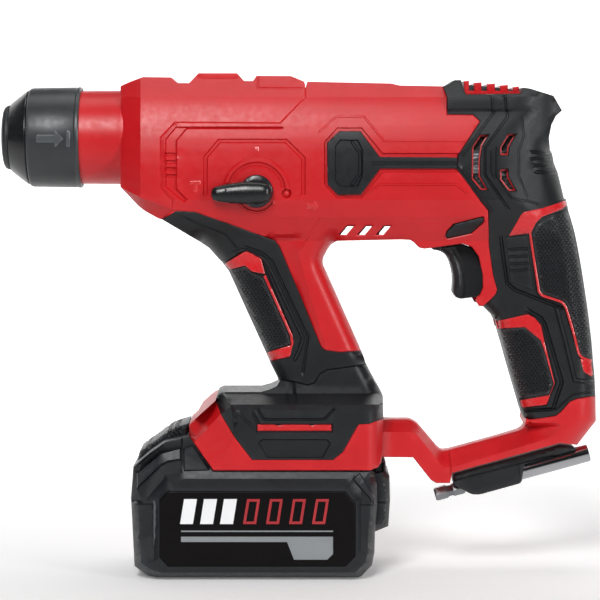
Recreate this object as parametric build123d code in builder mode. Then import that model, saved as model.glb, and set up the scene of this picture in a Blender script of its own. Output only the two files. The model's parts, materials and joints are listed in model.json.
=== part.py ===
from build123d import *
import math
import os

# Cordless rotary hammer, one folder of named pieces.
# Frame: X runs along the tool, the chuck points to -X; +Z is up; Y = 0 is the
# split plane of the clamshell; Z = 0 is the underside of the battery pack.
# All dimensions in millimetres.

os.makedirs("parts", exist_ok=True)

# ---- driving dimensions ----------------------------------------------------
SPINDLE_Z = 215.7          # spindle, chuck and piston axis
COUNTER_DROP = 26.0        # countershaft below the spindle
COUNTER_Z = SPINDLE_Z - COUNTER_DROP
MOTOR_RISE = 13.65         # motor axis above the countershaft
MOTOR_Z = COUNTER_Z + MOTOR_RISE
BIT_R = 5.05               # bore for a 10 mm slotted shank
SPINDLE_R = 12.5
CYLINDER_R = 10.0
WALL = 3.2                 # moulded wall
SKIN = 1.5                 # overmould thickness
RUN = 0.05                 # radial running clearance
BODY_HALF = 31.0
STRUT_HALF = 16.2
GRIP_HALF = 17.2
BAR_HALF = 12.0
DOCK_HALF = 34.0
PACK_HALF = 38.0
DOCK_BOTTOM_Z = 53.8
PACK_TOP_Z = 53.4
TRIGGER_TRAVEL = 6.5
SLEEVE_TRAVEL = 6.0
KNOB_X, KNOB_Z = -21.1, 189.6
GEAR1_M, GEAR1_BIG, GEAR1_SMALL = 1.3, 31, 9      # spindle gear and pinion
GEAR2_M, GEAR2_BIG, GEAR2_SMALL = 0.7, 30, 9      # countershaft gear, motor pinion
CELL_R, CELL_LEN = 9.1, 65.0

# ---- outlines in the X-Z plane ---------------------------------------------
BODY_SIDE = [(-89.2, 241.0), (-84.0, 243.7), (-78.5, 245.7), (-64.1, 245.5), (-61.1, 242.7), (-55.1, 242.7), (-50.4, 247.6), (-31.3, 247.6), (-27.8, 243.7), (-23.4, 243.7), (-21.6, 246.3), (-4.5, 246.2), (2.0, 243.5), (45.2, 242.5), (71.1, 241.1), (109.8, 240.5), (126.0, 236.4), (130.3, 229.1), (126.8, 225.4), (123.9, 215.5), (124.5, 209.5), (126.5, 203.0), (128.5, 198.1), (131.3, 188.6), (132.4, 185.1), (127.8, 164.7), (84.9, 153.7), (65.4, 160.7), (61.9, 160.3), (56.4, 163.4), (53.9, 164.5), (18.5, 164.2), (-10.5, 161.7), (-52.4, 172.2), (-68.8, 174.9), (-77.3, 179.1), (-80.3, 181.4), (-89.5, 191.1)]
BODY_CORE_SIDE = [(-87.5, 238.8), (-83.5, 241.7), (-78.0, 243.9), (-64.6, 243.9), (-61.6, 241.0), (-54.7, 241.0), (-49.7, 245.9), (-32.3, 245.9), (-28.8, 242.0), (-22.4, 242.0), (-20.9, 244.6), (-5.0, 244.4), (1.5, 241.7), (45.2, 240.8), (71.1, 239.4), (109.3, 238.8), (124.8, 235.0), (128.3, 229.1), (125.1, 225.9), (122.2, 215.5), (122.7, 209.5), (124.8, 202.5), (126.8, 197.6), (129.6, 188.6), (130.6, 185.1), (126.3, 166.2), (84.9, 155.7), (65.9, 162.4), (61.9, 162.2), (56.4, 165.2), (53.9, 166.2), (18.5, 165.9), (-10.0, 163.7), (-51.9, 173.9), (-68.3, 176.7), (-76.3, 180.7), (-79.3, 182.6), (-87.7, 191.8)]
BODY_CAVITY_SIDE = [(-85.2, 236.3), (-74.5, 240.5), (0.0, 239.2), (69.6, 236.8), (121.8, 232.8), (124.8, 228.8), (121.2, 215.9), (121.5, 208.5), (125.0, 196.6), (127.6, 185.1), (123.8, 168.7), (84.9, 159.7), (74.9, 166.7), (15.0, 169.2), (-10.0, 169.2), (-49.9, 177.6), (-65.8, 179.1), (-74.8, 182.1), (-78.8, 185.1), (-85.5, 192.6)]
BODY_CROSS = [(-12, 247), (-24, 235.4), (-29.5, 228.0), (-31, 221.7), (-31, 185.4), (-30, 177.1), (-20, 165.0), (-17, 154.6), (-17, 140), (0, 140), (0, 247)]
BODY_CORE_CROSS = [(-11, 246), (-22.8, 234.3), (-28.1, 227.4), (-29.5, 221.4), (-29.5, 185.6), (-28.6, 177.6), (-18.8, 165.8), (-15.5, 154.6), (-15.5, 140), (0, 140), (0, 246)]
BODY_CAVITY_CROSS = [(-8, 243.6), (-20.5, 232.6), (-26.2, 226.4), (-27.7, 221.0), (-27.7, 186.0), (-26.8, 178.8), (-17, 167.0), (-13.4, 154.6), (-13.4, 140), (0, 140), (0, 243.6)]
BODY_PLAN = [(-95, -24), (-89.4, -24), (-78.6, -31), (90, -31), (115, -17.2), (150, -17.2), (150, 0), (-95, 0)]
BODY_CORE_PLAN = [(-95, -22.5), (-88.8, -22.5), (-78.1, -29.5), (89.6, -29.5), (114.6, -15.7), (150, -15.7), (150, 0), (-95, 0)]
BODY_CAVITY_PLAN = [(-90, -20), (-85.6, -20.6), (-77.5, -27.7), (88.8, -27.7), (113.8, -13.6), (150, -13.6), (150, 0), (-90, 0)]

STRUT_SIDE = [(-68.8, 174.9), (-40.5, 155.2), (-35.5, 149.2), (-15.0, 103.5), (-10.3, 93.5), (-14.0, 83.4), (40.1, 83.4), (30.0, 110.1), (11.3, 153.3), (18.5, 164.2), (18.5, 173.7), (-54.9, 180.6)]
GRIP_SIDE = [(67.9, 161.2), (82.9, 164.7), (91.9, 153.7), (90.0, 135.2), (97.5, 125.6), (109.3, 85.4), (113.4, 72.3), (118.0, 59.1), (130.6, 62.4), (139.1, 61.7), (148.5, 73.8), (148.2, 84.4), (144.1, 124.6), (137.3, 164.7), (132.4, 185.1), (122.1, 189.6), (84.8, 177.1)]
BAR_SIDE = [(36.1, 74.8), (56.2, 74.8), (70.3, 59.3), (75.3, 59.4), (110.4, 69.2), (116.4, 71.3), (124.5, 60.9), (76.4, 47.5), (75.4, 42.4), (68.4, 42.4), (56.8, 55.4), (36.2, 55.4)]
DOCK_SIDE = [(-40.9, 88.6), (-54.8, 74.5), (-53.8, 66.8), (-42.7, 51.2), (37.5, 51.2), (40.5, 55.3), (41.4, 87.6), (32.5, 105.2), (0.0, 100.5), (-10.8, 94.5), (-17.2, 90.6)]
STRUT_CAVITY = [(-51.9, 173.7), (-37.4, 160.7), (-30.0, 150.7), (-9.0, 104.5), (-3.0, 91.9), (26.1, 91.9), (3.0, 147.7), (2.5, 159.7), (11.0, 168.7), (11.0, 173.7)]
GRIP_CAVITY = [(94.3, 168.7), (109.7, 177.1), (125.7, 180.6), (129.8, 165.7), (133.9, 143.7), (139.2, 104.5), (140.4, 85.4), (137.5, 75.3), (131.0, 69.2), (122.0, 66.2), (117.9, 71.8), (116.4, 80.3), (106.1, 119.6), (103.0, 128.6), (96.5, 135.7), (97.9, 149.7)]
BAR_CAVITY = [(33.1, 69.8), (52.2, 69.8), (65.3, 54.1), (72.3, 51.6), (110.5, 62.7), (123.0, 67.2), (123.0, 71.8), (126.5, 71.8), (126.5, 64.2), (75.4, 47.5), (68.3, 49.0), (55.7, 61.2), (33.1, 61.2)]

GEAR_CASE_REGION = [(-98.0, 253.6), (2.9, 253.6), (2.9, 235.5), (-9.8, 222.8), (-61.4, 223.0), (-68.5, 215.9), (-68.6, 190.9), (-63.0, 184.5), (-63.0, 179.6), (-68.0, 175.3), (-73.9, 170.2), (-98.5, 170.2)]
REAR_SKIN_REGION = [(72.0, 253.6), (151.9, 253.6), (153.4, 93.5), (145.5, 95.0), (136.1, 86.1), (123.2, 88.5), (107.9, 85.6), (101.5, 85.6), (93.8, 123.3), (87.9, 133.7), (93.8, 136.2), (97.2, 140.1), (96.7, 145.6), (93.1, 161.9), (92.5, 179.6), (77.2, 200.2), (77.2, 207.1), (88.4, 223.5), (84.9, 226.7), (72.2, 227.0)]
REAR_BAND_REGION = [(130.9, 186.0), (120.6, 182.6), (109.8, 179.1), (102.5, 167.3), (113.8, 168.3), (118.7, 176.2), (131.9, 180.6), (147.7, 182.6), (147.6, 187.5)]
FRONT_SKIN_REGION = [(-74.1, 172.1), (-68.1, 175.3), (-61.2, 179.5), (-51.8, 179.0), (-12.3, 164.7), (-10.4, 162.2), (10.4, 112.1), (11.9, 110.6), (20.3, 109.6), (30.7, 110.4), (35.7, 104.7), (22.8, 102.2), (13.4, 100.7), (6.0, 93.7), (2.5, 93.2), (-3.0, 106.2), (-5.0, 107.2), (-15.9, 104.2), (-24.8, 100.7), (-74.1, 160.2)]
BUMPER_REGION = [(13.1, 213.0), (19.1, 218.8), (29.3, 218.8), (38.8, 206.2), (76.2, 206.0), (76.2, 200.7), (38.8, 200.7), (29.6, 188.1), (18.5, 187.8), (13.3, 193.2)]
DOCK_SKIN_REGION = [(-39.5, 82.1), (-31.7, 69.3), (-23.4, 58.0), (16.1, 58.0), (27.8, 76.2), (34.2, 76.2), (41.0, 78.6), (43.9, 90.4), (32.2, 106.6), (0.0, 101.7), (-9.8, 97.8), (-12.2, 94.8), (-19.0, 91.9), (-39.5, 90.7)]
VENT_SLOTS = [[(23.0, 173.5), (26.9, 173.5), (23.5, 166.7), (18.6, 166.7)], [(32.0, 173.5), (35.9, 173.5), (32.8, 166.7), (27.9, 166.7)], [(41.0, 173.5), (45.0, 173.5), (42.0, 166.7), (36.7, 166.7)]]
REAR_SLOTS = [[(87.9, 217.4), (91.3, 216.9), (87.9, 211.6), (87.5, 197.0), (91.5, 190.2), (87.6, 190.2), (83.7, 195.1), (83.6, 210.6)], [(101.3, 217.4), (105.2, 217.1), (101.6, 210.6), (101.7, 196.5), (105.4, 189.7), (101.9, 189.7), (97.5, 196.0), (97.4, 211.1)]]
TOP_VENT_SIDE = [(79.0, 240.8), (81.2, 244.0), (94.4, 243.5), (107.8, 242.0), (109.8, 238.3), (109.8, 235.8), (79.0, 235.8)]
TOP_VENT_CUT = [(78.5, 249.2), (110.3, 249.2), (110.3, 235.5), (78.5, 235.5)]

TRIGGER_SIDE = [(65.9, 160.2), (72.9, 156.7), (76.4, 147.2), (76.0, 138.2), (79.5, 135.2), (88.0, 136.4), (91.7, 142.2), (90.4, 153.7), (85.9, 161.2), (77.4, 162.9)]
LEVER_SIDE = [(71.6, 167.5), (72.6, 170.9), (76.0, 173.4), (88.2, 176.3), (89.7, 175.3), (88.3, 172.4), (83.9, 170.4), (73.1, 167.0)]

PACK_SIDE = [(-81.0, 53.5), (-82.3, 40.5), (-80.8, 7.1), (-73.7, 1.2), (-68.3, -0.0), (28.6, -0.0), (35.1, 7.6), (36.6, 24.3), (43.4, 27.3), (43.8, 50.3), (40.9, 53.4)]
PACK_SPLIT = [(-87.8, 22.3), (48.8, 22.3), (48.9, -14.6), (-88.0, -14.6)]
LATCH_BLOCK = [(-43.8, 50.4), (-43.8, 52.4), (-53.1, 64.8), (-56.1, 68.0), (-65.9, 66.3), (-73.8, 60.9), (-81.9, 53.9), (-82.0, 50.4)]
BUTTON_SIDE = [(-56.3, 74.2), (-59.3, 73.5), (-63.8, 72.2), (-73.2, 64.5), (-79.1, 60.0), (-80.9, 55.1), (-74.2, 61.0), (-66.2, 66.5), (-56.4, 68.2)]
BUTTON_POCKET = [(-54.3, 77.5), (-54.4, 63.0), (-65.8, 61.3), (-73.2, 55.8), (-80.2, 50.8), (-85.1, 50.8), (-85.0, 66.5), (-64.2, 77.5)]
LABEL_SIDE = [(-64.2, 43.6), (21.9, 43.6), (26.8, 38.2), (26.8, 12.2), (21.9, 7.3), (-64.4, 7.3), (-68.2, 11.7), (-68.1, 39.7)]

SCREWS = [(8.0, 173.7), (63.9, 169.2), (69.6, 234.6), (122.6, 196.6), (-19.0, 129.6), (-32.1, 68.2), (37.1, 80.3), (70.3, 50.5), (122.5, 134.7), (130.4, 78.3)]


# ---- helpers: each adds to the sub-part block that is open ------------------
def inset(points, distance):
    """Offset a closed polygon inwards with mitred corners."""
    n = len(points)
    area = sum(points[i][0] * points[(i + 1) % n][1] - points[(i + 1) % n][0] * points[i][1] for i in range(n))
    s = 1.0 if area > 0 else -1.0
    out = []
    for i in range(n):
        (ax, az), (bx, bz), (cx, cz) = points[i - 1], points[i], points[(i + 1) % n]
        l1 = math.hypot(bx - ax, bz - az)
        l2 = math.hypot(cx - bx, cz - bz)
        n1 = (-(bz - az) / l1 * s, (bx - ax) / l1 * s)
        n2 = (-(cz - bz) / l2 * s, (cx - bx) / l2 * s)
        k = distance / max(0.35, 1.0 + n1[0] * n2[0] + n1[1] * n2[1])
        out.append((bx + (n1[0] + n2[0]) * k, bz + (n1[1] + n2[1]) * k))
    return out


def slab(points, near, far, mode=Mode.ADD):
    """Prism of an X-Z outline from Y = -near to Y = -far."""
    with BuildSketch(Plane.XZ.offset(near)) as profile:
        Polygon(*points)
    extrude(profile.sketch, amount=far - near, mode=mode)


def eased_slab(points, half, edge, mode=Mode.ADD):
    """Left half of a bar: straight to half - edge, then a chamfered flank."""
    slab(points, 0, half - edge, mode=mode)
    with BuildSketch(Plane.XZ.offset(half - edge)) as lower:
        Polygon(*points)
    with BuildSketch(Plane.XZ.offset(half)) as upper:
        Polygon(*inset(points, edge))
    loft([lower.sketch, upper.sketch], ruled=True, mode=mode)


def turned(points, axis_z=SPINDLE_Z, mode=Mode.ADD):
    """Body of revolution about an X axis from (x, radius) points."""
    with BuildSketch(Plane.XZ) as profile:
        Polygon(*[(x, axis_z + r) for x, r in points])
    revolve(profile.sketch, axis=Axis((0, 0, axis_z), (1, 0, 0)), mode=mode)


def tube(x0, x1, outer, inner, axis_z=SPINDLE_Z, mode=Mode.ADD):
    turned([(x0, inner), (x1, inner), (x1, outer), (x0, outer)], axis_z, mode)


def block(x0, x1, y0, y1, z0, z1, mode=Mode.ADD):
    with BuildSketch(Plane.XY.offset(z0)) as base:
        with Locations(((x0 + x1) / 2, (y0 + y1) / 2)):
            Rectangle(x1 - x0, y1 - y0)
    extrude(base.sketch, amount=z1 - z0, mode=mode)


def bolt_boss(points, radius, near, far, mode=Mode.ADD):
    """Round bosses or holes along Y at each (x, z)."""
    with BuildSketch(Plane.XZ.offset(near)) as spots:
        with Locations(*points):
            Circle(radius)
    extrude(spots.sketch, amount=far - near, mode=mode)


def ball(x, y, z, radius, mode=Mode.ADD):
    with Locations((x, y, z)):
        Sphere(radius, mode=mode)


def gear_outline(teeth, module, centre, phase=0.0, addendum=0.8, dedendum=1.05, backlash=0.10, pressure=25.0):
    """Closed outline of a spur gear with straight-sided involute flanks."""
    pitch = teeth * module / 2
    base = pitch * math.cos(math.radians(pressure))
    tip = pitch + addendum * module
    root = pitch - dedendum * module

    def inv(r):
        if r <= base:
            return 0.0
        a = math.acos(base / r)
        return math.tan(a) - a
    half = math.pi / (2 * teeth) - backlash / (2 * pitch)
    lower = max(base, root)
    radii = [lower + (tip - lower) * f for f in (0.0, 0.3, 0.65, 1.0)]
    if root < lower:
        radii = [root] + radii
    pts = []
    for t in range(teeth):
        mid = phase + 2 * math.pi * t / teeth
        flank = [(r, half + inv(pitch) - inv(r)) for r in radii]
        for r, a in flank:
            pts.append((r * math.cos(mid - a) + centre[0], r * math.sin(mid - a) + centre[1]))
        for r, a in reversed(flank):
            pts.append((r * math.cos(mid + a) + centre[0], r * math.sin(mid + a) + centre[1]))
    return pts


def gear(teeth, module, centre_z, phase, x0, x1, bore):
    with BuildSketch(Plane.YZ.offset(x0)) as face:
        Polygon(*gear_outline(teeth, module, (0, centre_z), phase))
        with Locations((0, centre_z)):
            Circle(bore, mode=Mode.SUBTRACT)
    extrude(face.sketch, amount=x1 - x0)


def coil(radius, wire, height, turns, origin, direction):
    """Compression spring wound about an axis, centred wire path."""
    with BuildLine() as path:
        Helix(pitch=height / turns, height=height, radius=radius, center=origin, direction=direction)
    with BuildSketch(Plane(origin=path.line @ 0, z_dir=path.line % 0)) as section:
        RegularPolygon(wire, 8)
    sweep(section.sketch, path=path.line)


def save(piece, name):
    piece.part.label = name
    export_step(piece.part, "parts/" + name + ".step")


# ---- shared forms of the left half -----------------------------------------
with BuildPart() as body_outer:
    slab(BODY_SIDE, 0, 40)
    with BuildSketch(Plane.YZ.offset(-100)):
        Polygon(*BODY_CROSS)
    extrude(amount=260, mode=Mode.INTERSECT)
    with BuildSketch(Plane.XY.offset(100)):
        Polygon(*BODY_PLAN)
    extrude(amount=200, mode=Mode.INTERSECT)

with BuildPart() as body_core:
    slab(BODY_CORE_SIDE, 0, 40)
    with BuildSketch(Plane.YZ.offset(-100)):
        Polygon(*BODY_CORE_CROSS)
    extrude(amount=260, mode=Mode.INTERSECT)
    with BuildSketch(Plane.XY.offset(100)):
        Polygon(*BODY_CORE_PLAN)
    extrude(amount=200, mode=Mode.INTERSECT)

with BuildPart() as body_cavity:
    slab(BODY_CAVITY_SIDE, 0, 40)
    with BuildSketch(Plane.YZ.offset(-100)):
        Polygon(*BODY_CAVITY_CROSS)
    extrude(amount=260, mode=Mode.INTERSECT)
    with BuildSketch(Plane.XY.offset(100)):
        Polygon(*BODY_CAVITY_PLAN)
    extrude(amount=200, mode=Mode.INTERSECT)

with BuildPart() as outer_form:
    add(body_outer.part)
    eased_slab(STRUT_SIDE, STRUT_HALF, 5.0)
    eased_slab(GRIP_SIDE, GRIP_HALF, 4.0)
    eased_slab(BAR_SIDE, BAR_HALF, 3.0)
    eased_slab(DOCK_SIDE, DOCK_HALF, 2.5)
    block(-70, 44, -40, 0, 40, DOCK_BOTTOM_Z, mode=Mode.SUBTRACT)

with BuildPart() as core_form:
    add(body_core.part)
    eased_slab(inset(STRUT_SIDE, SKIN), STRUT_HALF - SKIN, 4.5)
    eased_slab(inset(GRIP_SIDE, SKIN), GRIP_HALF - SKIN, 3.5)
    eased_slab(BAR_SIDE, BAR_HALF, 3.0)
    eased_slab(inset(DOCK_SIDE, SKIN), DOCK_HALF - SKIN, 2.0)
    block(-70, 44, -40, 0, 40, DOCK_BOTTOM_Z, mode=Mode.SUBTRACT)

# inner space of the clamshell, with screw bosses left standing in it
with BuildPart() as inner_space:
    add(body_cavity.part)
    slab(STRUT_CAVITY, 0, STRUT_HALF - SKIN - WALL)
    slab(GRIP_CAVITY, 0, GRIP_HALF - SKIN - WALL)
    slab(BAR_CAVITY, 0, BAR_HALF - WALL)
    block(-44, 30, -27.8, 0, 66, 88)
    bolt_boss(SCREWS, 4.4, 0, 40, mode=Mode.SUBTRACT)
    # rib that carries the rear motor bearing
    with BuildSketch(Plane.YZ.offset(96)) as rib:
        with Locations((0, MOTOR_Z)):
            Circle(26)
            Circle(6.5, mode=Mode.SUBTRACT)
    extrude(rib.sketch, amount=4, mode=Mode.SUBTRACT)


# ---- overmoulded skins: the shell between outer and core forms -------------
with BuildPart() as skin_zone:
    add(outer_form.part)
    add(core_form.part, mode=Mode.SUBTRACT)
    slab(TOP_VENT_CUT, 0, 45, mode=Mode.SUBTRACT)
    for slot in REAR_SLOTS + VENT_SLOTS:
        slab(slot, 5, 45, mode=Mode.SUBTRACT)
    slab(inset(LEVER_SIDE, -0.6), 0, 45, mode=Mode.SUBTRACT)
    block(63.8, 101.2, -9.8, 0, 134.4, 163.9, mode=Mode.SUBTRACT)

with BuildPart() as rear_overmould:
    add(skin_zone.part)
    slab(REAR_SKIN_REGION, 0, 45, mode=Mode.INTERSECT)
    slab(REAR_BAND_REGION, 0, 45, mode=Mode.SUBTRACT)

with BuildPart() as front_overmould:
    add(skin_zone.part)
    slab(FRONT_SKIN_REGION, 0, STRUT_HALF + 0.2, mode=Mode.INTERSECT)
    slab(GEAR_CASE_REGION, 0, 45, mode=Mode.SUBTRACT)

with BuildPart() as dock_cover:
    add(skin_zone.part)
    slab(DOCK_SKIN_REGION, 16.5, 45, mode=Mode.INTERSECT)

with BuildPart() as side_bumper:
    add(skin_zone.part)
    slab(BUMPER_REGION, 20, 45, mode=Mode.INTERSECT)

with BuildPart() as skins:
    for piece in (rear_overmould, front_overmould, dock_cover, side_bumper):
        add(piece.part)

# ---- work light: axis tilted up towards the chuck --------------------------
LIGHT_AT = (-38.9, 0, 86.9)
LIGHT_DIR = (-0.80, 0, 0.60)
light_plane = Plane(origin=LIGHT_AT, z_dir=LIGHT_DIR)
with BuildPart() as light_pocket:
    with BuildSketch(light_plane.offset(-7)) as s:
        Circle(4.1)
    extrude(s.sketch, amount=30)

# ---- clamshell halves -------------------------------------------------------
with BuildPart() as housing_half:
    add(outer_form.part)
    slab(GEAR_CASE_REGION, 0, 45, mode=Mode.SUBTRACT)
    add(inner_space.part, mode=Mode.SUBTRACT)
    add(skins.part, mode=Mode.SUBTRACT)
    slab(TOP_VENT_CUT, 0, 45, mode=Mode.SUBTRACT)
    for slot in VENT_SLOTS:
        slab(slot, 0, 45, mode=Mode.SUBTRACT)
    for slot in REAR_SLOTS:
        slab(slot, 5, 45, mode=Mode.SUBTRACT)
    slab(inset(LEVER_SIDE, -0.6), 0, 45, mode=Mode.SUBTRACT)
    block(63.8, 101.2, -9.8, 0, 134.4, 163.9, mode=Mode.SUBTRACT)
    # rail channel for the pack, open to the front and below
    block(-70, 38, -20.4, 0, 50, 62.6, mode=Mode.SUBTRACT)
    block(-70, 38, -24.4, 0, 57.6, 62.6, mode=Mode.SUBTRACT)
    block(35, 41, -15, 0, 54, 67, mode=Mode.SUBTRACT)
    add(light_pocket.part, mode=Mode.SUBTRACT)

with BuildPart() as housing_left:
    add(housing_half.part)
    bolt_boss(SCREWS, 1.5, 0, 10, mode=Mode.SUBTRACT)
    bolt_boss([(KNOB_X, KNOB_Z)], 4.1, 15, 45, mode=Mode.SUBTRACT)
save(housing_left, "housing_left")

with BuildPart() as housing_right:
    add(mirror(housing_half.part, about=Plane.XZ, mode=Mode.PRIVATE))
    bolt_boss(SCREWS, 1.7, -20, 0, mode=Mode.SUBTRACT)
    bolt_boss(SCREWS, 3.2, -45, -8, mode=Mode.SUBTRACT)
save(housing_right, "housing_right")

with BuildPart() as housing_screws:
    bolt_boss(SCREWS, 1.45, -8, 9.5)
    bolt_boss(SCREWS, 3.0, -10.4, -8)
save(housing_screws, "housing_screws")

for skin, name in ((rear_overmould, "rear_overmould"), (front_overmould, "front_overmould"),
                   (dock_cover, "foot_covers"), (side_bumper, "side_bumpers")):
    with BuildPart() as both:
        add(mirror(skin.part, about=Plane.XZ, mode=Mode.PRIVATE))
        bolt_boss(SCREWS, 3.2, -45, 0, mode=Mode.SUBTRACT)
        add(skin.part)
    save(both, name)

with BuildPart() as vent_half:
    slab(TOP_VENT_SIDE, 0, 30)
    with BuildSketch(Plane.YZ.offset(-100)):
        Polygon(*BODY_CROSS)
    extrude(amount=300, mode=Mode.INTERSECT)
    slab([(77.0, 238.8), (111.8, 237.3), (111.8, 234.8), (77.0, 234.8)], 0, 19, mode=Mode.SUBTRACT)
    for x in (85.5, 92.0, 98.2, 104.4):
        block(x - 1.6, x + 1.6, -31, 0, 238.8, 242.0, mode=Mode.SUBTRACT)
with BuildPart() as top_vent:
    add(vent_half.part)
    add(mirror(vent_half.part, about=Plane.XZ, mode=Mode.PRIVATE))
save(top_vent, "top_vent_grille")

with BuildPart() as work_light:
    with BuildSketch(light_plane.offset(-6.5)) as s:
        Circle(4.0)
    extrude(s.sketch, amount=6.0)
    with BuildSketch(light_plane.offset(-0.5)) as s1:
        Circle(4.0)
    extrude(s1.sketch, amount=1.2, taper=30)
save(work_light, "work_light_lens")

# ---- gear case with its round collar ---------------------------------------
with BuildPart() as case_web:
    add(body_cavity.part)
    block(-71, -65, -31, 0, 150, 246, mode=Mode.INTERSECT)
with BuildPart() as case_half:
    add(body_outer.part)
    slab(GEAR_CASE_REGION, 0, 45, mode=Mode.INTERSECT)
    add(body_cavity.part, mode=Mode.SUBTRACT)
    add(case_web.part)
    slab([(-68.7, 179.1), (-61.5, 179.1), (-61.6, 165.3), (-73.9, 165.3)], 0, 45, mode=Mode.SUBTRACT)
with BuildPart() as gear_case:
    add(case_half.part)
    add(mirror(case_half.part, about=Plane.XZ, mode=Mode.PRIVATE))
    tube(-110, -84, 23.06, 19.0)
    tube(-111, -84, 19.0, 0, mode=Mode.SUBTRACT)
    tube(-72, -64, 14.5, 0, mode=Mode.SUBTRACT)
    tube(-72, -64, 7.0, 0, axis_z=COUNTER_Z, mode=Mode.SUBTRACT)
save(gear_case, "gear_case")

# ---- chuck -------------------------------------------------------------------
with BuildPart() as dust_cap:
    turned([(-147.7, 5.4), (-147.7, 14.6), (-147.2, 15.6), (-146.0, 16.4), (-143.6, 16.4), (-143.6, 14.5),
            (-138.6, 14.5), (-138.6, 12.0), (-141.0, 12.0), (-141.0, 5.4)])
save(dust_cap, "dust_cap")

with BuildPart() as chuck_cap:
    turned([(-143.4, 14.6), (-143.4, 16.4), (-142.6, 17.4), (-134.6, 23.3), (-134.2, 23.3), (-134.2, 12.0),
            (-138.4, 12.0), (-138.4, 14.6)])
save(chuck_cap, "chuck_nose_cap")

with BuildPart() as locking_sleeve:
    turned([(-133.9, 15.1), (-133.9, 23.6), (-131.4, 24.7), (-130.4, 24.9), (-110.2, 24.9), (-109.6, 25.2),
            (-108.6, 25.2), (-108.2, 24.9), (-108.2, 23.45), (-126.0, 23.45), (-127.6, 20.0), (-127.6, 15.1)])
save(locking_sleeve, "locking_sleeve")

with BuildPart() as locking_ring:
    tube(-132.5, -121.5, 15.0, 12.15)
save(locking_ring, "locking_ring")

with BuildPart() as chuck_spring:
    coil(16.8, 0.8, 12.6, 4, (-126.6, 0, SPINDLE_Z), (1, 0, 0))
save(chuck_spring, "chuck_spring")

with BuildPart() as spring_seat:
    tube(-113.0, -111.6, 18.6, 12.5)
save(spring_seat, "spring_seat")

with BuildPart() as locking_balls:
    ball(-125, 8.15, SPINDLE_Z, 3.0)
    ball(-125, -8.15, SPINDLE_Z, 3.0)
save(locking_balls, "locking_balls")

# ---- spindle: bit bore, beat piece bore and hammer cylinder in one tube ------
with BuildPart() as spindle:
    turned([(-141, BIT_R), (-96, BIT_R), (-96, 7.05), (-87, 7.05), (-87, CYLINDER_R), (-34, CYLINDER_R),
            (-34, SPINDLE_R), (-111.6, SPINDLE_R), (-111.6, 12.0), (-141, 12.0)])
    with BuildSketch(Plane.XZ.offset(-14)) as pockets:
        with Locations((-125, SPINDLE_Z)):
            Circle(3.1)
    extrude(pockets.sketch, amount=28, mode=Mode.SUBTRACT)
save(spindle, "spindle")

with BuildPart() as spindle_gear:
    gear(GEAR1_BIG, GEAR1_M, SPINDLE_Z, math.radians(-90 + 180 / GEAR1_BIG), -61, -52, SPINDLE_R)
save(spindle_gear, "spindle_gear")

with BuildPart() as front_seal:
    turned([(-109.5, 12.6), (-109.5, 19.0), (-106.0, 19.0), (-106.0, 16.0), (-108.3, 15.0), (-108.3, 12.6)])
save(front_seal, "front_seal")

with BuildPart() as spindle_bearings:
    for x0, x1, outer in ((-104, -93, 19.0), (-46, -40, 17.0)):
        turned([(x0, SPINDLE_R + RUN), (x1, SPINDLE_R + RUN), (x1, 14.6), (x1 - 0.8, 14.9), (x1 - 0.8, outer - 2.3),
                (x1, outer - 2.0), (x1, outer), (x0, outer), (x0, outer - 2.0), (x0 + 0.8, outer - 2.3),
                (x0 + 0.8, 14.9), (x0, 14.6)])
save(spindle_bearings, "spindle_bearings")

with BuildPart() as beat_piece:
    turned([(-95.0, 0), (-95.0, 6.4), (-94.4, 7.0), (-86.6, 7.0), (-85.0, 9.6), (-80.0, 9.6), (-79.2, 8.6), (-79.2, 0)])
save(beat_piece, "beat_piece")

with BuildPart() as striker:
    turned([(-74, 0), (-74, 5.5), (-71.5, 6.0), (-71.5, 9.95), (-66.6, 9.95), (-66.6, 8.6), (-64.4, 8.6),
            (-64.4, 9.95), (-60.5, 9.95), (-60.5, 0)])
save(striker, "striker")
with BuildPart() as striker_ring:
    tube(-66.4, -64.6, 9.95, 8.6)
save(striker_ring, "striker_o_ring")

PISTON_X = -20.0
with BuildPart() as piston:
    turned([(-52, 0), (-52, 9.95), (-49.6, 9.95), (-49.6, 8.6), (-47.4, 8.6), (-47.4, 9.95), (-12, 9.95), (-12, 0)])
    block(-26.5, -11, -3.6, 3.6, SPINDLE_Z - 12, SPINDLE_Z + 12, mode=Mode.SUBTRACT)
    bolt_boss([(PISTON_X, SPINDLE_Z)], 5.25, -12, 12, mode=Mode.SUBTRACT)
save(piston, "piston")
with BuildPart() as piston_ring:
    tube(-49.4, -47.6, 9.95, 8.6)
save(piston_ring, "piston_o_ring")
with BuildPart() as piston_pin:
    bolt_boss([(PISTON_X, SPINDLE_Z)], 5.2, -8.2, 8.2)
    block(PISTON_X - 3.9, PISTON_X + 3.9, -3.3, 3.3, SPINDLE_Z - 8, SPINDLE_Z + 8, mode=Mode.SUBTRACT)
save(piston_pin, "piston_pin")

with BuildPart() as wobble_ring:
    ring_pts = [(PISTON_X + t, math.sqrt(9.3 ** 2 - t * t)) for t in (-3.2, -1.6, 0.0, 1.6, 3.2)]
    turned(ring_pts + [(PISTON_X + 3.2, 12.4), (PISTON_X + 2.6, 13.0), (PISTON_X - 2.6, 13.0), (PISTON_X - 3.2, 12.4)], COUNTER_Z)
    with BuildSketch(Plane.XY.offset(COUNTER_Z + 12.0)) as finger:
        with Locations((PISTON_X, 0)):
            Circle(2.6)
    extrude(finger.sketch, amount=COUNTER_DROP - 12.0 + 4.0)
save(wobble_ring, "wobble_ring")

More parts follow.
